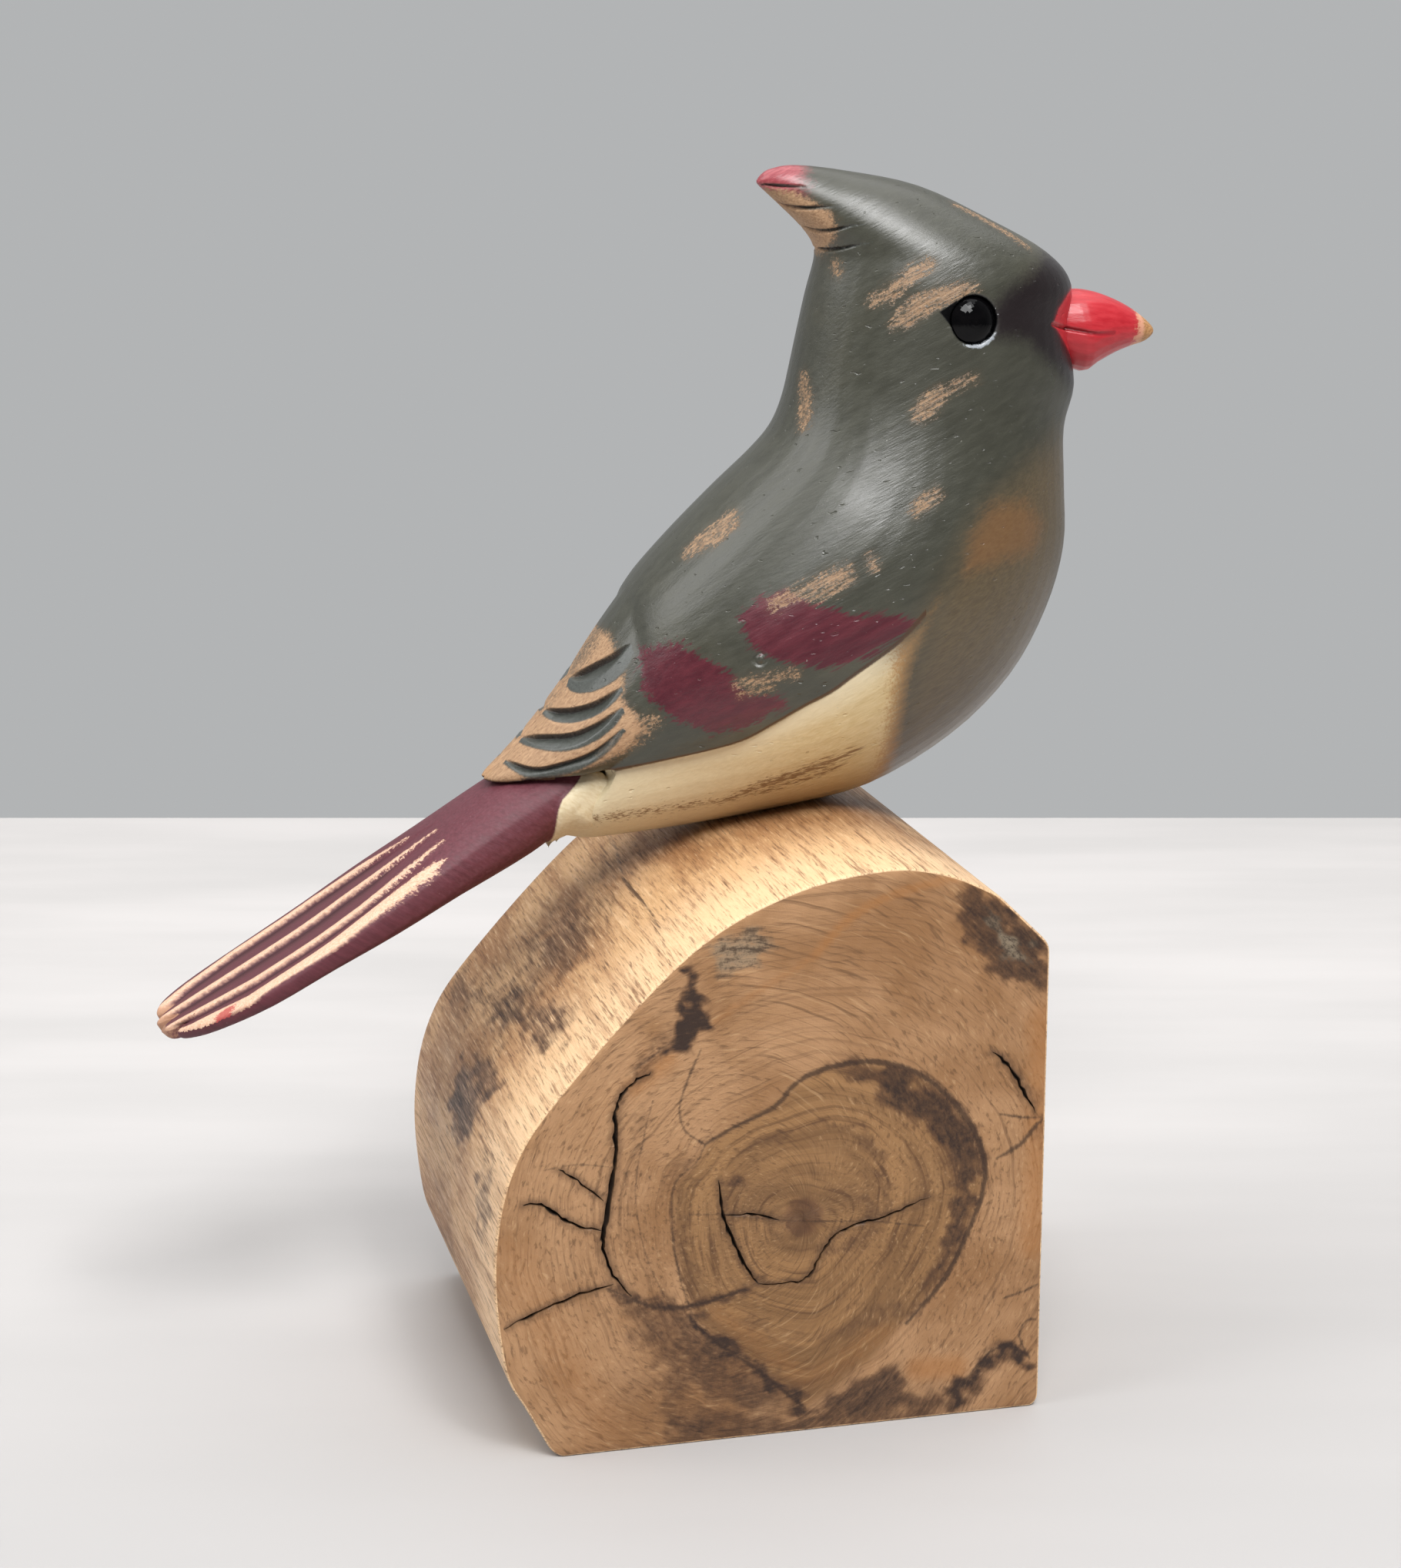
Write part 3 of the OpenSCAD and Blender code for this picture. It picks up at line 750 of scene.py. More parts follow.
def tail_crests(along, across):
    """How far inside the worn band of a feather's edge each point is, and the tip notches."""
    notch = np.zeros(len(along))
    crest = np.full(len(along), -FAR)
    for edge in FEATHER_EDGES:
        line = np.interp(along, *np.array(edge, float).T)
        notch = np.maximum(notch, np.exp(-((across - line + 0.6) / 0.7) ** 2))
        start = edge[1][0]
        width = 0.2 + 0.6 * step(start - 1, start + 10, along)
        off = 9 * (1 - step(start - 3, start + 1, along))
        crest = np.maximum(crest, width - np.abs(across - line - 0.72) - off)
    near_line = np.interp(along, *np.array(NEAR_WEAR, float).T)
    near_width = 0.8 + 0.55 * step(11, 24, along)
    near_band = near_width - np.abs(across - near_line) - 3 * (1 - step(6, 14, along))
    return np.maximum(crest, near_band), notch


def make_tail():
    """The tail with its overlapping feathers, scalloped end, worn crests and cream lip."""
    mesh = fine_mesh("tail", voxel=0.32, passes=3)
    places, normals = coordinates(mesh)
    points = places - PERCH
    along, across = tail_frame(points)
    rise = normals[:, 2] * math.cos(TAIL_FALL) - normals[:, 0] * math.sin(TAIL_FALL)
    top = step(0.0, 0.5, rise)
    under = step(0.3, 0.7, -normals[:, 2])
    drop = feather_drop(along, across, FEATHER_EDGES)
    crest, notch = tail_crests(along, across)
    lip = signed_side(points[:, [0, 2]], CREAM_LIP)
    lap = np.interp(lip, *np.array(LIP_RISE).T)
    lap *= 1 - 0.9 * step(0.1, 0.6, normals[:, 2])
    depth = drop * (top + 0.35 * under) - lap
    shorten = SCALLOP_DEPTH * notch * step(TAIL_LENGTH - 8, TAIL_LENGTH, along)
    back = np.array([math.cos(TAIL_FALL), 0, math.sin(TAIL_FALL)])
    set_coordinates(mesh, places - normals * depth[:, None] + back * shorten[:, None])
    on_top = np.where(top > 0.4, 0, -FAR)
    from_spot = np.column_stack([along - RED_SPOT[0], 2.2 * (across - RED_SPOT[1])])
    red = RED_SPOT_RADIUS - np.linalg.norm(from_spot, axis=1)
    paint(mesh, bare=crest + on_top, drop=drop * top / FEATHER_DROP, along=along, lip=lip,
          end=along - TAIL_LENGTH + 1.2, red=red + on_top)
    return mesh


def make_beak():
    """The beak with its mouth line and worn tip."""
    mesh = fine_mesh("beak", voxel=0.18, passes=3)
    places, normals = coordinates(mesh)
    points = places - PERCH
    depth, distance = mouth_slit(points)
    set_coordinates(mesh, places - normals * depth[:, None])
    paint(mesh, bare=BEAK_TIP_WEAR - np.linalg.norm(points - BEAK_TIP, axis=1),
          mouth=0.3 - distance)
    return mesh


# ---- log ----

def log_outline():
    """The log's outline at an even spacing, with its corners eased, in mm as (x, z)."""
    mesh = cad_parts["log_base"].data
    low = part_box("log_base")[0].y
    face = {(round(v.co.x / MM, 3), round(v.co.z / MM, 3)) for v in mesh.vertices
            if v.co.y - low < MM * 0.01}
    corners = np.array(sorted(face, key=lambda p: math.atan2(p[1] - PITH[1], p[0] - PITH[0])))
    closed = np.vstack([corners, corners[:1]])
    lengths = np.concatenate([[0], np.cumsum(np.linalg.norm(np.diff(closed, axis=0), axis=1))])
    places = np.linspace(0, lengths[-1], int(lengths[-1] / LOG_STEP), endpoint=False)
    outline = np.column_stack([np.interp(places, lengths, closed[:, i]) for i in (0, 1)])
    for _ in range(3):
        eased = (np.roll(outline, 1, 0) + outline * 2 + np.roll(outline, -1, 0)) / 4
        floor = outline[:, 1] < 0.01
        eased[floor, 1] = outline[floor, 1]
        outline = eased
    return outline


def inset(outline, amount):
    """The outline moved inwards by an amount."""
    along = np.roll(outline, -1, 0) - np.roll(outline, 1, 0)
    along /= np.linalg.norm(along, axis=1)[:, None]
    inwards = np.column_stack([-along[:, 1], along[:, 0]])
    return outline + inwards * amount


def warped(points, reach, seed):
    """Points moved by a few waves, so that outlines drawn through them turn uneven."""
    draw = np.random.default_rng(seed)
    moved = points.copy()
    for axis in range(points.shape[1]):
        for _ in range(8):
            wave = draw.normal(0, 1.3, points.shape[1])
            moved[:, axis] += reach / 3 * np.sin(points @ wave + draw.uniform(0, 2 * math.pi))
    return moved


def rough_cracks(cracks, seed):
    """Cracks as uneven lines: (middle, half width at each of its points, depth)."""
    draw = np.random.default_rng(seed)
    found = []
    for path, half_width, deepest in cracks:
        middle = smooth_path(path, 5)
        middle[1:-1] += draw.normal(0, 0.09, (len(middle) - 2, 2))
        taper = np.sin(np.pi * np.linspace(0.03, 0.97, len(middle))) ** 0.5
        found.append((middle, half_width * taper * draw.uniform(0.35, 1.05, len(middle)), deepest))
    return found


def crack_field(points, cracks):
    """Depth of the drying cracks at places (x, z) of a sawn end, and how far inside one it is."""
    depth = np.zeros(len(points))
    inside = np.full(len(points), LOG_OFF)
    for middle, widths, deepest in cracks:
        near = within(points, middle, 3)
        distance, place, _, _ = nearest(points[near], middle)
        lengths = np.linalg.norm(np.diff(middle, axis=0), axis=1)
        places = np.concatenate([[0], np.cumsum(lengths)]) / lengths.sum()
        width = np.interp(place, places, widths)
        share = np.clip(1 - distance / (width + 0.02), 0, 1)
        depth[near] = np.maximum(depth[near], deepest * share * np.sin(np.pi * place) ** 0.5)
        inside[near] = np.maximum(inside[near], width - distance)
    return depth, inside


def crack_lines(cracks, lines):
    """Lines that the face's mesh has to follow: both lips and the bottom of every crack."""
    found = [smooth_path(path, 3) for path, _ in lines]
    for middle, widths, _ in cracks:
        along = np.gradient(middle, axis=0)
        along /= np.linalg.norm(along, axis=1)[:, None]
        aside = np.column_stack([-along[:, 1], along[:, 0]])
        lip = aside * widths[:, None]
        found += [middle, middle + lip, middle - lip]
    return found


def end_face(outline, cracks, lines, seed):
    """Triangles of one sawn end: points (x, z), triples of their numbers, and their sources."""
    low, high = outline.min(0), outline.max(0)
    xs = np.arange(low[0], high[0], FACE_STEP)
    zs = np.arange(low[1], high[1], FACE_STEP)
    grid = np.array(np.meshgrid(xs, zs)).reshape(2, -1).T
    grid += np.random.default_rng(seed).uniform(-0.15, 0.15, grid.shape)
    grid = grid[inside_distance(grid, outline) > 0.45]
    count = len(outline)
    points = [Vector(p) for p in outline] + [Vector(p) for p in grid]
    edges = [(i, (i + 1) % count) for i in range(count)]
    for line in crack_lines(cracks, lines):
        kept = inside_distance(line, outline) > 0.15
        for a, b in zip(np.flatnonzero(kept), np.flatnonzero(kept)[1:]):
            if b == a + 1:
                edges.append((len(points), len(points) + 1))
                points += [Vector(line[a]), Vector(line[b])]
    made = geometry.delaunay_2d_cdt(points, edges, [list(range(count))], 1, 1e-4)
    return np.array([tuple(p) for p in made[0]]), [tuple(f) for f in made[2]], made[3]


def ripple(points, seed):
    """Gentle unevenness of hand sanding, from a few long waves, in mm."""
    draw = np.random.default_rng(seed)
    total = np.zeros(len(points))
    for _ in range(7):
        wave = draw.normal(0, 0.16, 3)
        total += np.sin(points @ wave + draw.uniform(0, 2 * math.pi))
    return total / 7


def side_rings(outline, low, high):
    """Rings of points along the round side, between the two ends."""
    eased = LOG_BEVEL[-1][0]
    rows = [(low + y, amount) for y, amount in LOG_BEVEL]
    rows += [(y, 0.0) for y in np.arange(low + eased + LOG_ROW, high - eased - LOG_ROW / 2, LOG_ROW)]
    rows += [(high - y, amount) for y, amount in reversed(LOG_BEVEL)]
    rings = []
    for y, amount in rows:
        ring = inset(outline, amount)
        rings.append(np.column_stack([ring[:, 0], np.full(len(ring), y), ring[:, 1]]))
    return rings


def side_faces(rings, count):
    """Squares between neighbouring rings of so many points."""
    faces = []
    for start in range(0, (rings - 1) * count, count):
        for i in range(count):
            j = (i + 1) % count
            faces.append((start + i, start + j, start + count + j, start + count + i))
    return faces


def sawn_end(border, y, inwards, cracks, seed, first, taken):
    """New vertices and triangles of a sawn end, and how far inside a crack the vertices are.

    The border's vertices are there already, from number first on; new ones get the numbers
    from taken on.
    """
    flat, triangles, origin = end_face(border, cracks, INK_LINES, seed)
    depth, inside = crack_field(flat, cracks)
    from_border = inside_distance(flat, border)
    depth *= step(0.1, 0.8, from_border)
    rise = 0.05 * ripple(np.column_stack([flat, flat[:, :1] * 0]), 9) * step(0.5, 4, from_border)
    place = np.column_stack([flat[:, 0], y + inwards * (depth + np.abs(rise)), flat[:, 1]])
    numbers = []
    extra = []
    for i, sources in enumerate(origin):
        shared = [source for source in sources if source < len(border)]
        numbers.append(first + shared[0] if shared else taken + len(extra))
        if not shared:
            extra.append(i)
    loops = [[numbers[i] for i in triangle] for triangle in triangles]
    faces = [tuple(loop[::inwards]) for loop in loops if len(set(loop)) == 3]
    return place[extra], faces, inside[extra]


def log_mesh(vertices, faces):
    """The mesh of the log, in metres, smooth but for its edges."""
    mesh = bpy.data.meshes.new("log_block")
    mesh.from_pydata([tuple(v) for v in vertices * MM], [], faces)
    work = bmesh.new()
    work.from_mesh(mesh)
    bmesh.ops.recalc_face_normals(work, faces=work.faces)
    work.to_mesh(mesh)
    work.free()
    mesh.shade_smooth()
    mesh.set_sharp_from_angle(angle=SHARP_ANGLE)
    return mesh


def make_log():
    """The log block: round side, eased edges, and two sawn ends with their cracks."""
    outline = log_outline()
    border = inset(outline, LOG_BEVEL[0][1])
    low, high = (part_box("log_base")[i].y / MM for i in (0, 1))
    rings = side_rings(outline, low, high)
    count, last = len(outline), len(rings) - 1
    vertices, faces = np.vstack(rings), side_faces(len(rings), count)
    side_count = len(vertices)
    gap = np.full(side_count, LOG_OFF)
    for row, y, inwards, cracks in ((0, low, 1, rough_cracks(CRACKS, 3)),
                                    (last, high, -1, rough_cracks(BACK_CRACKS, 4))):
        more, triangles, inside = sawn_end(border, y, inwards, cracks, 5 + row, row * count,
                                           len(vertices))
        vertices = np.vstack([vertices, more])
        gap = np.concatenate([gap, inside])
        faces += triangles
    is_end = np.arange(len(vertices)) >= side_count
    is_end[:count] = is_end[side_count - count:side_count] = True
    mesh = log_mesh(vertices, faces)
    paint_log(mesh, vertices, is_end, gap)
    return mesh


def paint_log(mesh, vertices, is_end, gap):
    """Layers of the log's figure."""
    flat = vertices[:, [0, 2]]
    ink = np.where(is_end, streaks_distance(flat, INK_LINES, -LOG_OFF),
                   streaks_distance(vertices, [(SIDE_LINE, 0.3)], -LOG_OFF))
    uneven = warped(flat, 0.9, 21)
    end_stain = np.maximum(stain_share(uneven, STAINS), zone_share(uneven, DARK_ZONES))
    side = warped(vertices[:, 1:] * (0.5, 1.0), 1.3, 22) * (2.0, 1.0)
    side_stain = 0.85 * zone_share(side, SIDE_ZONES) * step(4, -6, vertices[:, 0])
    paint(mesh, ink=ink, gap=gap, stain=np.where(is_end, end_stain, side_stain),
          sawn=is_end.astype(float), heart=inside_distance(flat, HEART),
          grey=np.where(is_end, zone_share(uneven, GREY_ZONES), 0),
          warm=np.where(is_end, stain_share(flat, WARM_STAINS), 0))


# ---- materials ----

def srgb(red, green, blue):
    """A colour given in 0 to 255 as the eye sees it, turned into light."""
    values = [c / 255 for c in (red, green, blue)]
    return tuple(c / 12.92 if c <= 0.04045 else ((c + 0.055) / 1.055) ** 2.4 for c in values) + (1.0,)


class Signal:
    """A number, vector or colour on its way through a material, known by the socket it leaves.

    Colours that are mixed in may be given in 0 to 255.
    """

    def __init__(self, coat, socket):
        self.coat = coat
        self.socket = socket

    def __add__(self, other):
        return self.coat.math("ADD", self, other)

    def __sub__(self, other):
        return self.coat.math("SUBTRACT", self, other)

    def __mul__(self, other):
        return self.coat.math("MULTIPLY", self, other)

    def __abs__(self):
        return self.coat.math("ABSOLUTE", self)

    def most(self, other):
        """The larger of two numbers."""
        return self.coat.math("MAXIMUM", self, other)

    def ramp(self, low, high, start=0.0, end=1.0):
        """Smooth change from start at low to end at high, level beyond them."""
        sockets = {"Value": self, "From Min": low, "From Max": high, "To Min": start, "To Max": end}
        return self.coat.node("ShaderNodeMapRange", sockets, interpolation_type="SMOOTHSTEP")

    def coated(self, share, over):
        """This colour with another one laid on it in the given share."""
        return self.coat.mix(share, self, over)

    def between(self, low, high, first, last):
        """A colour that changes from the first at low to the last at high."""
        return self.coat.mix(self.ramp(low, high), first, last)


class Coat:
    """A material under construction, with one short call for each kind of node."""

    def __init__(self, name):
        self.material = bpy.data.materials.new(name)
        self.material.use_nodes = True
        self.tree = self.material.node_tree
        self.tree.nodes.clear()
        output = self.tree.nodes.new("ShaderNodeOutputMaterial")
        self.shader = self.tree.nodes.new("ShaderNodeBsdfPrincipled")
        self.tree.links.new(self.shader.outputs[0], output.inputs[0])
        metres = self.node("ShaderNodeTexCoord", output="Object")
        self.place = self.vector("MULTIPLY", metres, (1 / MM,) * 3)

    def node(self, kind, sockets=(), output=0, **settings):
        """A new node with its sockets filled, as the signal of one of its outputs."""
        made = self.tree.nodes.new(kind)
        for name, value in settings.items():
            setattr(made, name, value)
        for key, value in dict(sockets).items():
            self.plug(made.inputs[key], value)
        return Signal(self, made.outputs[output])

    def plug(self, socket, value):
        """Links a signal to a socket, or sets a constant on it."""
        if isinstance(value, Signal):
            self.tree.links.new(value.socket, socket)
        else:
            socket.default_value = value

    def math(self, operation, a, b=0.0, c=0.0):
        return self.node("ShaderNodeMath", {0: a, 1: b, 2: c}, operation=operation)

    def vector(self, operation, a, b=(0, 0, 0), output=0):
        return self.node("ShaderNodeVectorMath", {0: a, 1: b}, output, operation=operation)

    def part(self, axis):
        """The place along one axis, by its number, in mm."""
        return self.node("ShaderNodeSeparateXYZ", {0: self.place}, axis)

    def layer(self, name):
        """What the mesh stores under a name."""
        return self.node("ShaderNodeAttribute", output="Fac", attribute_name=name)

    def noise_at(self, where, scale, detail, roughness, bend=0.0):
        """Noise about zero, from -1 to 1 at most."""
        sockets = {"Vector": where, "Scale": scale, "Detail": detail, "Roughness": roughness,
                   "Distortion": bend}
        return self.math("MULTIPLY_ADD", self.node("ShaderNodeTexNoise", sockets), 2.0, -1.0)

    def noise(self, scale, detail=3.0, roughness=0.55, turn=0.0):
        """Noise of the piece, by its changes in a mm: one number, or three along turned axes."""
        if isinstance(scale, float):
            return self.noise_at(self.place, scale, detail, roughness)
        where = self.place
        if turn:
            where = self.node("ShaderNodeVectorRotate", {"Vector": where, "Angle": turn},
                              rotation_type="Y_AXIS")
        return self.noise_at(self.vector("MULTIPLY", where, scale), 1.0, detail, roughness)

    def mix(self, share, under, over):
        """Colour over laid on colour under with the given share."""
        under, over = (c if isinstance(c, Signal) else srgb(*c) for c in (under, over))
        return self.node("ShaderNodeMix", {0: share, 6: under, 7: over}, 2, data_type="RGBA")

    def covered(self, edge, raggedness, soft, *noises):
        """Share of a coat from the distance inside its edge, a layer's name or a signal.

        The noises break the edge up.
        """
        edge = self.layer(edge) if isinstance(edge, str) else edge
        for noise in noises:
            edge = self.math("MULTIPLY_ADD", noise, raggedness, edge)
        return edge.ramp(-soft, soft)

    def finish(self, colour, roughness, height, depth, gloss=0.5):
        """Joins the colours and levels, and a height with its depth in mm, to the shader."""
        bump = self.node("ShaderNodeBump", {"Height": height, "Strength": 1.0, "Distance": depth * MM})
        sockets = {"Base Color": colour, "Roughness": roughness, "Normal": bump,
                   "Specular IOR Level": gloss}
        for name, value in sockets.items():
            self.plug(self.shader.inputs[name], value)
        return self.material


def bare_wood(coat, turn, light, dark):
    """Colour of wood showing through, and its fine fibres, which run along x turned about y."""
    fibre = coat.noise((0.35, 3.2, 3.2), 4, turn=turn)
    pores = coat.noise((1.6, 3.6, 3.6), 2, turn=turn).ramp(0.24, 0.5)
    return fibre.between(-0.6, 0.5, dark, light).coated(pores * 0.6, (74, 47, 29)), fibre


def body_paint():
    """Brushed olive grey, brown, maroon and cream paint, worn through to the wood."""
    coat = Coat("body_paint")
    brush = SimpleNamespace(
        strokes=coat.noise((0.14, 0.8, 1.0), 5, 0.62, BODY_GRAIN),
        fine=coat.noise((0.45, 2.8, 3.2), 4, 0.6, BODY_GRAIN),
        bristle=coat.noise((0.22, 2.2, 2.4), 4, 0.7, BODY_GRAIN),
        cloud=coat.noise(0.055),
        grain=coat.noise(2.6, 3, 0.7),
    )
    colour = brush.strokes.between(-0.5, 0.6, (55, 55, 46), (66, 66, 56))
    colour = colour.coated(brush.cloud.ramp(0.0, 0.6, 0, 0.4), (88, 84, 68))
    colour = breast_paint(coat, brush, colour)
    mask = coat.covered(coat.layer("mask") + 1.5, 1.2, 1.8, brush.grain, brush.strokes)
    colour = red_patches(coat, brush, colour.coated(mask * 0.97, (22, 12, 15)))
    cream, cream_share = cream_paint(coat, brush)
    colour, bare, fibre = worn_paint(coat, brush, colour.coated(cream_share, cream))
    colour = face_paint(coat, brush, cut_lines(coat, brush, colour))
    specks = coat.noise(1.9, 1).ramp(0.58, 0.66, 0, 0.4)
    colour = colour.coated(specks * bare.ramp(0, 1, 1, 0), (150, 148, 138))

    pits = coat.noise((0.54, 1.08, 1.44), 1, turn=0.1).ramp(0.4, 0.6)
    height = (brush.strokes * 0.26 + brush.fine * 0.2 + (fibre * (bare * 0.4) + pits * -0.9)
              + bare * -0.5)
    rough = brush.strokes.ramp(-0.6, 0.6, 0.31, 0.39) + bare * 0.28 + cream_share * 0.08
    gloss = coat.layer("liner").ramp(0.0, 0.2, 0.62, 0.1)
    return coat.finish(colour, rough, height, 0.09, gloss)


def breast_paint(coat, brush, colour):
    """Brown of the breast, brushed thinly over the grey, with an orange worn patch."""
    breast = coat.covered("breast", 2.0, 4.5, brush.strokes, brush.cloud)
    brown = brush.fine.between(-0.6, 0.6, (77, 64, 46), (100, 86, 62))
    orange = coat.covered("orange", 1.6, 2.0, brush.fine, brush.strokes, brush.cloud)
    return colour.coated(breast * 0.92, brown).coated(orange * 0.3, (146, 94, 46))


def red_patches(coat, brush, colour):
    """Maroon brush marks on the wing and the rubbed pink tip of the crest."""
    maroon = coat.covered("maroon", 2.8, 0.4, brush.bristle) * brush.fine.ramp(-0.9, -0.2, 0.7, 1.0)
    colour = colour.coated(maroon, brush.strokes.between(-0.4, 0.5, (72, 20, 32), (92, 31, 42)))
    pink = coat.covered("crest_tip", 1.8, 2.0, brush.strokes, brush.grain)
    return colour.coated(pink * 0.85, brush.fine.between(-0.4, 0.5, (140, 42, 56), (176, 84, 90)))


def worn_paint(coat, brush, colour):
    """Bare wood dry brushed through the paint, with thin brown paint round it."""
    wood, fibre = bare_wood(coat, BODY_GRAIN, (178, 143, 108), (140, 106, 76))
    rubbed = coat.covered("bare", 1.9, 0.5, brush.bristle, brush.grain * 0.8)
    rubbed = rubbed * (brush.bristle + brush.grain * 0.6).ramp(-0.4, 0.3, 0.0, 0.95)
    tips = coat.covered("worn", 0.85, 0.5, brush.grain, brush.bristle)
    tips = tips * brush.fine.ramp(-0.8, -0.1, 0.6, 1.0)
    bare = (rubbed * 0.82).most(tips)
    thin = coat.covered("bare", 1.6, 1.7, brush.bristle)
    thin = thin.most(coat.covered("worn", 1.8, 1.6, brush.bristle))
    colour = colour.coated(thin * 0.42, (104, 80, 54)).coated(bare, wood)
    wing_tip = coat.covered("tip_wear", 1.0, 0.6, brush.grain) * 0.7
    return colour.coated(wing_tip, (166, 128, 90)), bare, fibre


def cut_lines(coat, brush, colour):
    """Grey paint left in the feather cuts, painted shade on their upper lips, and a dark line along
    the lower edge of the wing that is partly brown wood and partly painted shade.
    """
    groove = (brush.grain * 0.3 + coat.layer("groove")).ramp(-0.1, 0.3) * 0.8
    colour = colour.coated(groove, brush.grain.between(-0.5, 0.5, (56, 59, 56), (80, 84, 80)))
    # Painted shade: a dark line on the upper lip of each cut
    colour = colour.coated(coat.layer("cut_lip_shade").ramp(-0.1, 0.1) * 0.85, (36, 26, 20))
    # A dark line along the wing's lower edge: partly brown wood showing there, partly painted shade of
    # the step under the wing
    wing_edge_shade_line = abs(coat.layer("edge") + brush.grain * 0.12).ramp(0.16, 0.5, 1.0, 0.0)
    return colour.coated(wing_edge_shade_line * 0.92, (70, 44, 22))


def face_paint(coat, brush, colour):
    """Red of the gape with painted shade round the base of the beak, black round the eye and the pale
    line of the lower lid.
    """
    red = brush.strokes.between(-0.5, 0.6, (168, 30, 40), (188, 48, 54))
    colour = colour.coated(coat.covered("gape", 0.2, 0.12, brush.grain), red)
    # Painted shade: a dark maroon line round the red of the gape, at the base of the beak
    rim = abs(coat.layer("gape")).ramp(0.15, 0.5, 1.0, 0.0)
    colour = colour.coated(rim * 0.85, (34, 10, 14))
    colour = colour.coated(coat.covered("liner", 0.12, 0.14, brush.grain), (5, 5, 6))
    lid = coat.covered("lid", 0.42, 0.12, brush.grain)
    return colour.coated(lid * 0.85, (158, 164, 170))


def cream_paint(coat, brush):
    """Cream of the belly, whiter under the wing, brown where it is rubbed and browner towards its
    bottom, and its share.
    """
    x, z = coat.part(0), coat.part(2)
    forward = x.ramp(PERCH[0] + 4, PERCH[0] + 14)
    upper = coat.layer("edge").ramp(0.4, 5.0, 1.0, 0.0)
    rear = x.ramp(PERCH[0] + 4, PERCH[0] - 24)
    tan = (forward + brush.grain * 0.55).ramp(0.3, 0.8)
    glaze = (x + brush.grain * 1.6).ramp(PERCH[0] + 10, PERCH[0] + 15.5)
    # Browner towards the bottom of the belly, above the log
    under = (x * -0.33 + z).ramp(PERCH[2] + 4.0, PERCH[2] - 1.8)
    cream = brush.fine.between(-0.6, 0.6, (190, 166, 118), (208, 188, 146))
    cream = cream.coated((upper * 0.6).most(rear * 0.45), (226, 216, 188))
    cream = cream.coated(tan * 0.85, (156, 112, 58)).coated(glaze * 0.75, (104, 76, 44))
    cream = cream.coated(under * 0.5, (150, 112, 64))

    dash = coat.noise((0.3, 3.4, 3.8), 3, 0.7, BELLY_GRAIN)
    marks = (coat.layer("marks") * 0.26 + dash).ramp(0.0, 0.35)
    nicks = coat.noise((0.5, 2.2, 2.6), 1, turn=BELLY_GRAIN).ramp(0.5, 0.62, 0, 0.5)
    cream = cream.coated(marks * 0.85, (112, 76, 40)).coated(nicks, (120, 92, 58))

    rubbed = brush.grain * forward * 2.4
    crisp = coat.covered("cream", 0.3, 0.2, brush.grain, brush.strokes, rubbed)
    faded = coat.covered(coat.layer("cream") - 1.6, 1.6, 2.2, brush.grain, brush.strokes)
    return cream, (faded - crisp) * forward + crisp


def tail_paint():
    """Maroon paint with dust and a painted sheen towards the root, painted shade behind each feather's
    edge, worn to pinkish wood on the feather crests.
    """
    coat = Coat("tail_paint")
    brush = SimpleNamespace(
        strokes=coat.noise((0.12, 1.5, 1.6), 5, 0.62, -TAIL_FALL),
        bristle=coat.noise((0.16, 2.6, 2.6), 4, 0.7, -TAIL_FALL),
        fine=coat.noise((0.9, 2.6, 2.6), 4, 0.65, -TAIL_FALL),
        grain=coat.noise(2.8, 3, 0.7),
    )
    root = coat.layer("along").ramp(30, 4)
    # Dust and painted sheen: the maroon turns paler and pinker towards the root of the tail
    dust_and_sheen = brush.fine.ramp(-0.4, 0.7) * (root * 0.3 + 0.1)
    colour = brush.strokes.between(-0.6, 0.6, (78, 27, 37), (98, 42, 52))
    colour = colour.coated(dust_and_sheen, (126, 76, 86))
    # Painted shade just behind each feather's edge, where it drops under the next feather
    colour = colour.coated(coat.layer("drop").ramp(0.5, 1.0) * 0.75, (36, 12, 18))
    colour, bare, fibre = worn_tail(coat, brush, colour)
    cream = brush.fine.between(-0.6, 0.6, (202, 184, 146), (220, 208, 178))
    colour = colour.coated(coat.covered("lip", 0.12, 0.12, brush.grain), cream)
    height = brush.strokes * 0.3 + brush.fine * 0.25 + fibre * (bare * 0.4)
    rough = brush.strokes.ramp(-0.6, 0.6, 0.54, 0.64) + bare * 0.1
    return coat.finish(colour, rough, height, 0.07)


def worn_tail(coat, brush, colour):
    """Bare wood on the crests and the end of the tail, brighter red on its side, and dust."""
    wood, fibre = bare_wood(coat, -TAIL_FALL, (232, 194, 168), (204, 158, 128))
    start = coat.layer("along").ramp(28, 14) * 6.0
    bare = coat.covered("bare", 0.28, 0.28, brush.strokes, brush.bristle * start)
    bare = bare * brush.bristle.ramp(-0.85, -0.5, 0.4, 1.0)
    red = coat.covered("red", 1.4, 0.5, brush.bristle, brush.fine)
    end = coat.covered("end", 0.8, 0.5, brush.grain)
    dust = coat.noise(2.3, 1).ramp(0.56, 0.66, 0, 0.4)
    colour = colour.coated(bare, wood).coated(red * 0.8, (168, 34, 44))
    return colour.coated(end * 0.8, (186, 140, 110)).coated(dust, (160, 124, 128)), bare, fibre


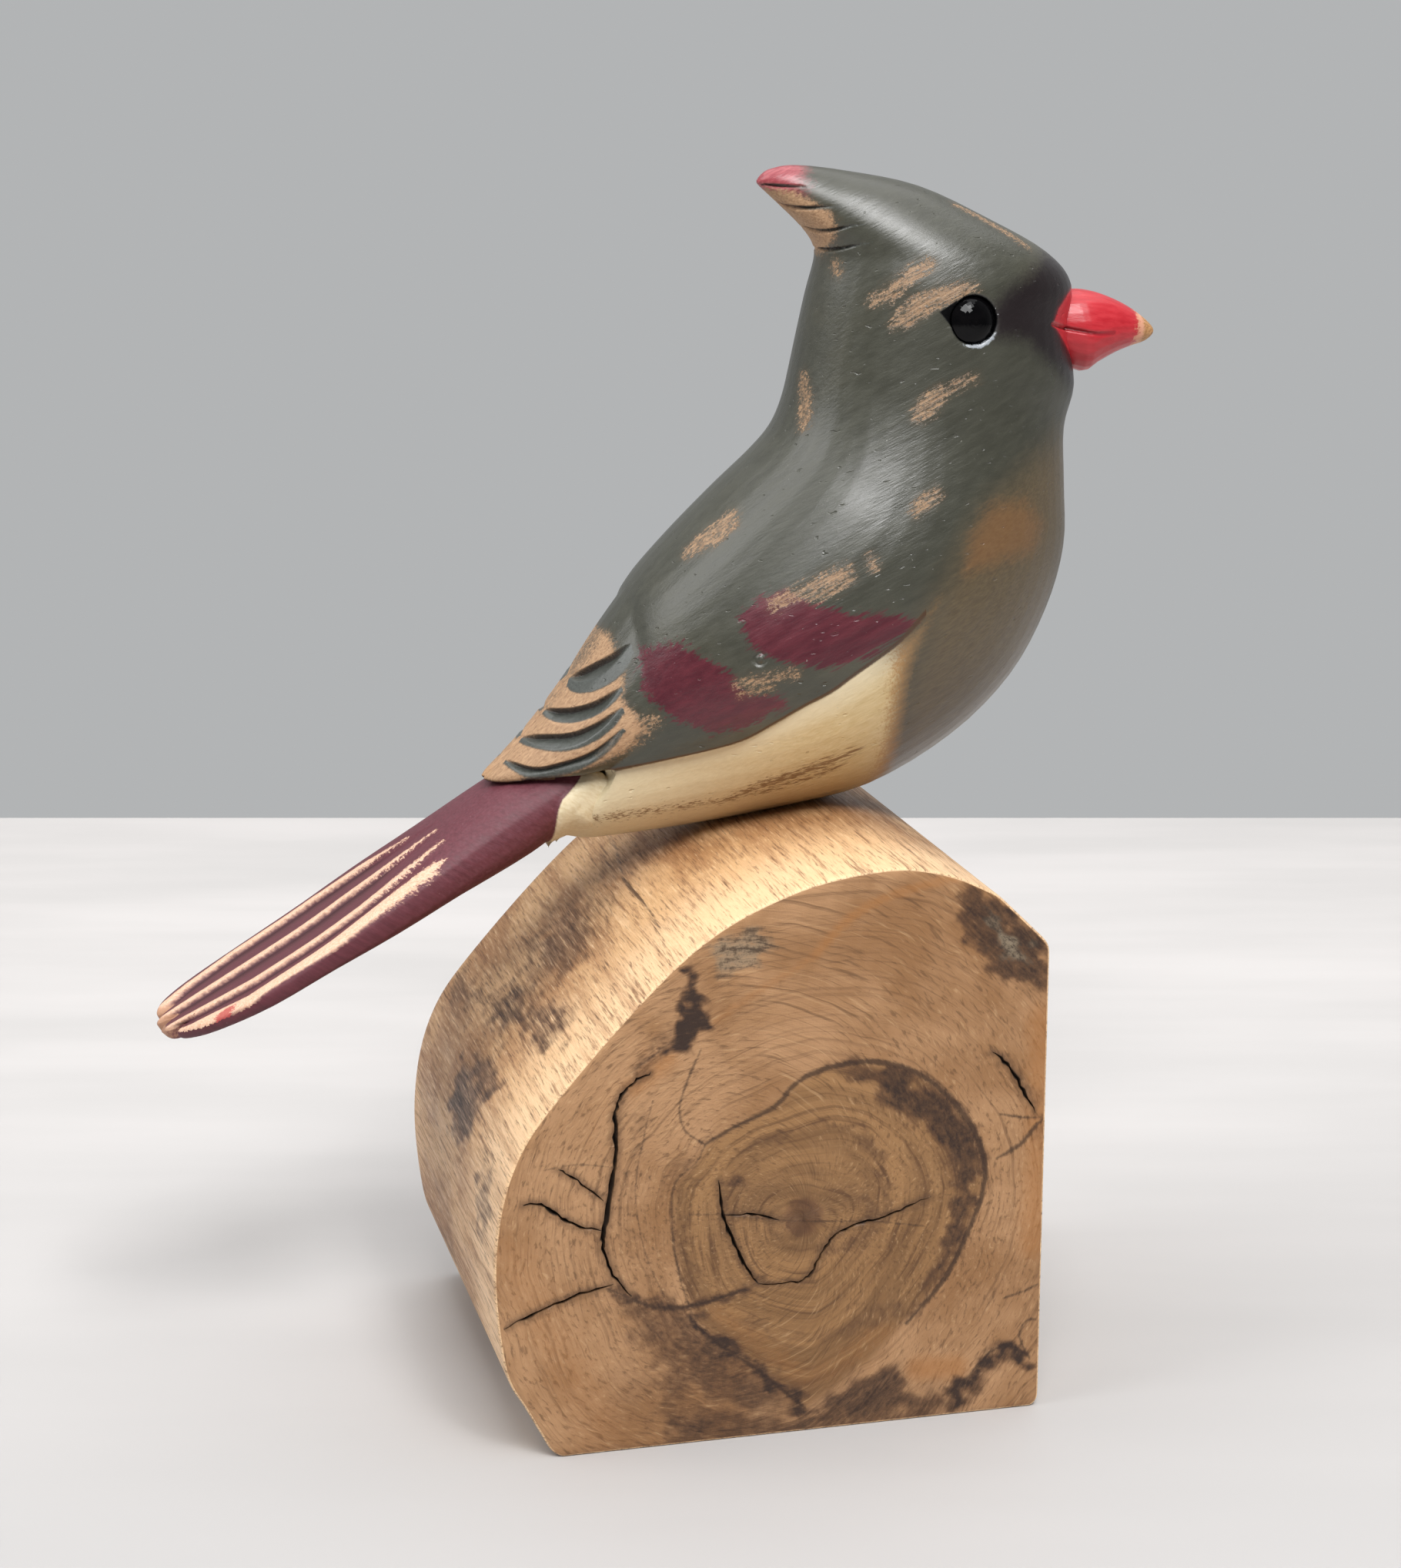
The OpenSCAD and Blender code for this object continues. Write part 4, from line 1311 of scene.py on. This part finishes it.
def beak_paint():
    """Coral red paint, thin on the edges and rubbed through at the tip."""
    coat = Coat("beak_paint")
    strokes = coat.noise((0.3, 1.3, 1.6), 4, 0.6, math.radians(-8))
    grain = coat.noise(2.6, 3, 0.7)
    wood, fibre = bare_wood(coat, 0.0, (196, 150, 98), (150, 100, 58))
    mouth = coat.covered("mouth", 0.12, 0.15, grain)
    rim = coat.covered("bare", 1.3, 0.5, grain, strokes)
    core = coat.covered(coat.layer("bare") - 1.3, 0.9, 0.25, grain)
    colour = strokes.between(-0.5, 0.6, (172, 29, 40), (190, 48, 56))
    colour = colour.coated(mouth * 0.6, (120, 18, 30)).coated(rim * 0.6, (222, 186, 148))
    height = strokes * 0.5 + fibre * (rim * 0.5)
    rough = strokes.ramp(-0.6, 0.6, 0.3, 0.4) + rim * 0.2
    return coat.finish(colour.coated(core, wood), rough, height, 0.05)


def eye_glass():
    """Black glass with a very slight unevenness."""
    coat = Coat("eye_glass")
    cloud = coat.noise(0.6, 2)
    rough = coat.noise(2.5, 2).ramp(-0.6, 0.6, 0.02, 0.05)
    return coat.finish(cloud.between(-0.5, 0.5, (3, 3, 4), (8, 7, 8)), rough, cloud, 0.01, 0.16)


def dowel_wood():
    """Plain beech with short flecks."""
    coat = Coat("dowel_wood")
    wood, fibre = bare_wood(coat, math.radians(90), (214, 178, 132), (184, 142, 96))
    return coat.finish(wood, fibre.ramp(-0.6, 0.6, 0.5, 0.65), fibre, 0.05)


def ring_place(coat):
    """Place across the growth rings in mm, the direction from the pith, and the distance to it."""
    offset = coat.vector("SUBTRACT", coat.place, (PITH[0], 0.0, PITH[1]))
    flat = coat.vector("MULTIPLY", offset, (1.0, 0.0, 1.0))
    facing = coat.vector("NORMALIZE", flat)
    length = coat.vector("LENGTH", flat, output="Value")
    bend = coat.noise((0.05, 0.006, 0.05))
    return bend * 2.2 + (coat.layer("heart") * -0.42 + length * 0.58), facing, length


def ring_noise(coat, across, facing, density, turn, detail=4.0, bend=0.0):
    """Noise that changes density times a mm across the rings, and turn times round them."""
    line = coat.node("ShaderNodeCombineXYZ", {0: across * density})
    round_it = coat.vector("MULTIPLY", facing, (turn, turn, turn))
    return coat.noise_at(coat.vector("ADD", line, round_it), 1.0, detail, 0.6, bend)


def end_grain(coat):
    """Colour, height and two noises of the sawn ends: growth rings, rays and pores."""
    across, facing, length = ring_place(coat)
    broad = ring_noise(coat, across, facing, 0.28, 0.7)
    rings = ring_noise(coat, across, facing, 1.1, 1.3)
    thin = ring_noise(coat, across, facing, 3.0, 5.0)
    lace = ring_noise(coat, across, facing, 1.7, 26.0, 3, 0.4)
    pores = coat.noise((1.5, 0.45, 1.5), 3, 0.7)
    cloud = coat.noise((0.06, 0.012, 0.06), 4, 0.6)
    inner = (broad * 0.8 + coat.layer("heart")).ramp(-0.8, 1.2)

    outer = cloud.between(-0.3, 0.3, (148, 107, 69), (180, 138, 99))
    heart = broad.between(-0.35, 0.35, (112, 80, 48), (156, 116, 74))
    colour = outer.coated(inner * 0.88, heart)
    late = rings.ramp(0.0, 0.42) * inner.ramp(0, 1, 0.5, 0.85)
    colour = colour.coated(late, (92, 62, 38))
    colour = colour.coated(rings.ramp(-0.55, -0.15, 0.3, 0), (196, 154, 106))
    colour = colour.coated(thin.ramp(0.05, 0.45, 0, 0.5), (92, 62, 38))
    colour = colour.coated(lace.ramp(0.06, 0.36, 0, 0.55), (90, 62, 38))
    colour = colour.coated(lace.ramp(-0.5, -0.12, 0.42, 0), (208, 170, 126))
    colour = colour.coated(pores.ramp(0.3, 0.6, 0, 0.55), (84, 56, 36))
    pith = (pores * 0.6 + length).ramp(3.4, 2.2)
    colour = colour.coated(pith * 0.5, (104, 68, 46))

    height = rings * 0.25 + lace * 0.55 + (thin * 0.2 + pores * 0.35)
    smear = lace * 0.5 + (rings * 0.4 + pores * 0.5)
    return colour, height, smear, cloud


def long_grain(coat):
    """Colour, height and noise of the round side: streaks and fibres running back along y."""
    band = coat.noise((0.34, 0.02, 0.34), 4, 0.6)
    fibre = coat.noise((1.5, 0.075, 1.5), 5, 0.7)
    thread = coat.noise((3.4, 0.24, 3.4), 3, 0.65)
    patch = coat.noise((0.09, 0.05, 0.09), 4, 0.6)
    # Paler gold towards the front end, mottled: partly the wood's own tone, partly painted light near
    # the front edge
    gold = (patch * 16.0 + coat.part(1)).ramp(-6, -30)
    colour = patch.between(-0.25, 0.25, (168, 124, 82), (206, 164, 118))
    colour = colour.coated(gold * 0.85, (240, 202, 158))
    colour = colour.coated(band.ramp(0.0, 0.45, 0, 0.55), (142, 94, 58))
    colour = colour.coated(fibre.ramp(0.0, 0.4, 0, 0.8), (118, 78, 50))
    colour = colour.coated(fibre.ramp(-0.5, -0.1, 0.6, 0), (244, 208, 162))
    colour = colour.coated(thread.ramp(0.06, 0.4, 0, 0.65), (92, 62, 44))
    colour = colour.coated(thread.ramp(-0.5, -0.1, 0.5, 0), (246, 214, 172))
    smear = fibre * 0.9 + (thread * 0.6 + band * 0.5)
    return colour, fibre * 0.5 + thread * 0.6, smear


def log_stains(coat, colour, smear, cloud):
    """Warm, dark and grey stains, mottled by the figure of the wood."""
    warm = (smear * 0.3 + coat.layer("warm")).ramp(0.2, 1.0, 0, 0.6)
    stain = coat.layer("stain")
    dark = cloud * 0.4 + (stain * 1.3 + smear * (stain + 0.3) * 0.5)
    grey = (smear * 0.5 + coat.layer("grey")).ramp(0.3, 0.9, 0, 0.85)
    colour = colour.coated(warm, (168, 112, 60))
    colour = colour.coated(dark.ramp(0.1, 1.0, 0, 0.8), (86, 58, 38))
    colour = colour.coated(dark.ramp(0.75, 1.5, 0, 0.9), (44, 30, 25))
    return colour.coated(grey, smear.between(-0.2, 0.3, (146, 132, 110), (74, 62, 50)))


def log_wood():
    """Spalted hardwood: sawn ends, long grain on the side, stains and drying cracks."""
    coat = Coat("log_wood")
    ends, end_height, end_smear, cloud = end_grain(coat)
    side, side_height, side_smear = long_grain(coat)
    sawn = coat.layer("sawn").ramp(0.4, 0.6)
    around = sawn.ramp(0, 1, 1, 0)
    height = end_height * sawn + side_height * around
    smear = end_smear * sawn * 1.4 + side_smear * around * 2.0
    colour = log_stains(coat, side.coated(sawn, ends), smear, cloud)
    ink = coat.covered("ink", 0.34, 0.26, smear)
    halo = (smear * 0.5 + coat.layer("gap")).ramp(-1.2, 0.1, 0, 0.6)
    gap = coat.layer("gap").ramp(-0.06, 0.12)
    colour = colour.coated(ink * 0.75, (48, 31, 23)).coated(halo, (84, 58, 38))
    # Painted shade: the drying cracks are darkened inside
    colour = colour.coated(gap * 0.9, (30, 24, 20))
    rough = smear.ramp(-0.6, 0.6, 0.4, 0.56) + gap * 0.3
    return coat.finish(colour, rough, height, 0.1, 0.4)


# ---- stage ----

def aimed(name, data, azimuth, elevation):
    """A camera or light that looks back from the given direction, and that direction."""
    a, e = math.radians(azimuth), math.radians(elevation)
    back = Vector((math.sin(a) * math.cos(e), -math.cos(a) * math.cos(e), math.sin(e)))
    made = bpy.data.objects.new(name, data)
    made.rotation_mode = "QUATERNION"
    made.rotation_quaternion = (-back).to_track_quat("-Z", "Y")
    bpy.context.scene.collection.objects.link(made)
    return made, back


def make_camera():
    """The camera at the height and angle of a product picture."""
    data = bpy.data.cameras.new("camera")
    data.lens = CAMERA_LENS
    data.sensor_width = 36
    data.clip_start = 0.01
    camera, _ = aimed("camera", data, CAMERA_AZIMUTH, CAMERA_ELEVATION)
    camera.location = CAMERA_PLACE
    bpy.context.scene.camera = camera


def floor_paint():
    """Pale, slightly uneven table paint, with painted shade that darkens it towards the front."""
    coat = Coat("floor_paint")
    cloud = coat.noise((0.006, 0.03, 1.0), 4)
    colour = cloud.between(-0.5, 0.5, (198, 195, 193), (210, 206, 204))
    # Painted shade: the table darkens towards the front
    colour = colour.coated(coat.part(1).ramp(250, -160), (174, 172, 171))
    return coat.finish(colour, cloud.ramp(-0.5, 0.5, 0.6, 0.7), cloud, 0.02)


def make_floor():
    """A pale table top whose far edge lies square to the camera."""
    corners = [(-FLOOR_HALF_WIDTH, FLOOR_FRONT, 0), (FLOOR_HALF_WIDTH, FLOOR_FRONT, 0),
               (FLOOR_HALF_WIDTH, FLOOR_BACK, 0), (-FLOOR_HALF_WIDTH, FLOOR_BACK, 0)]
    mesh = bpy.data.meshes.new("floor")
    mesh.from_pydata(corners, [], [(0, 1, 2, 3)])
    mesh.materials.append(floor_paint())
    floor = bpy.data.objects.new("floor", mesh)
    floor.rotation_euler = (0, 0, math.radians(CAMERA_AZIMUTH))
    bpy.context.scene.collection.objects.link(floor)


def make_lights():
    """Soft rectangular lights that face the bird."""
    for name, azimuth, elevation, distance, size, power in LIGHTS:
        data = bpy.data.lights.new(name, "AREA")
        data.shape = "RECTANGLE"
        data.size, data.size_y = size
        data.energy = power
        light, back = aimed(name, data, azimuth, elevation)
        light.location = Vector(LIT_POINT) + back * distance


def make_room():
    """A grey room: bright behind the bird, darker on the side of the camera."""
    world = bpy.data.worlds.new("room")
    world.use_nodes = True
    tree = world.node_tree
    facing = tree.nodes.new("ShaderNodeTexCoord")
    parts = tree.nodes.new("ShaderNodeSeparateXYZ")
    fade = tree.nodes.new("ShaderNodeMapRange")
    shade = tree.nodes.new("ShaderNodeMix")
    shade.data_type = "RGBA"
    for socket, value in zip(fade.inputs[1:5], (-0.5, 0.7, 0.0, 1.0)):
        socket.default_value = value
    shade.inputs[6].default_value = ROOM_FRONT
    shade.inputs[7].default_value = ROOM_BACK
    tree.links.new(facing.outputs["Generated"], parts.inputs[0])
    tree.links.new(parts.outputs["Y"], fade.inputs[0])
    tree.links.new(fade.outputs[0], shade.inputs[0])
    tree.links.new(shade.outputs[2], tree.nodes["Background"].inputs[0])
    bpy.context.scene.world = world
    bpy.context.scene.view_settings.view_transform = "Standard"


# ---- the whole ----

def build():
    """Makes every piece, gives it its material and fixes it to the part."""
    make_camera()
    make_floor()
    make_lights()
    make_room()
    made = (
        ("bird_skin", make_body, "bird_body", "body_paint", body_paint),
        ("tail_feathers", make_tail, "tail", "tail_paint", tail_paint),
        ("painted_beak", make_beak, "beak", "beak_paint", beak_paint),
        ("log_block", make_log, "log_base", "log_wood", log_wood),
    )
    for name, shape, node, slot, material in made:
        piece = new_piece(name, shape(), node)
        piece.data.materials.append(material())
    glass = eye_glass()
    for node in ("eye_left", "eye_right"):
        dress(node, glass)
    dress("perch_dowel", dowel_wood())


def dress(node, material):
    """Gives a CAD node that is shown as it is a material."""
    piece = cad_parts[node]
    piece.data.materials.clear()
    piece.data.materials.append(material)


build()
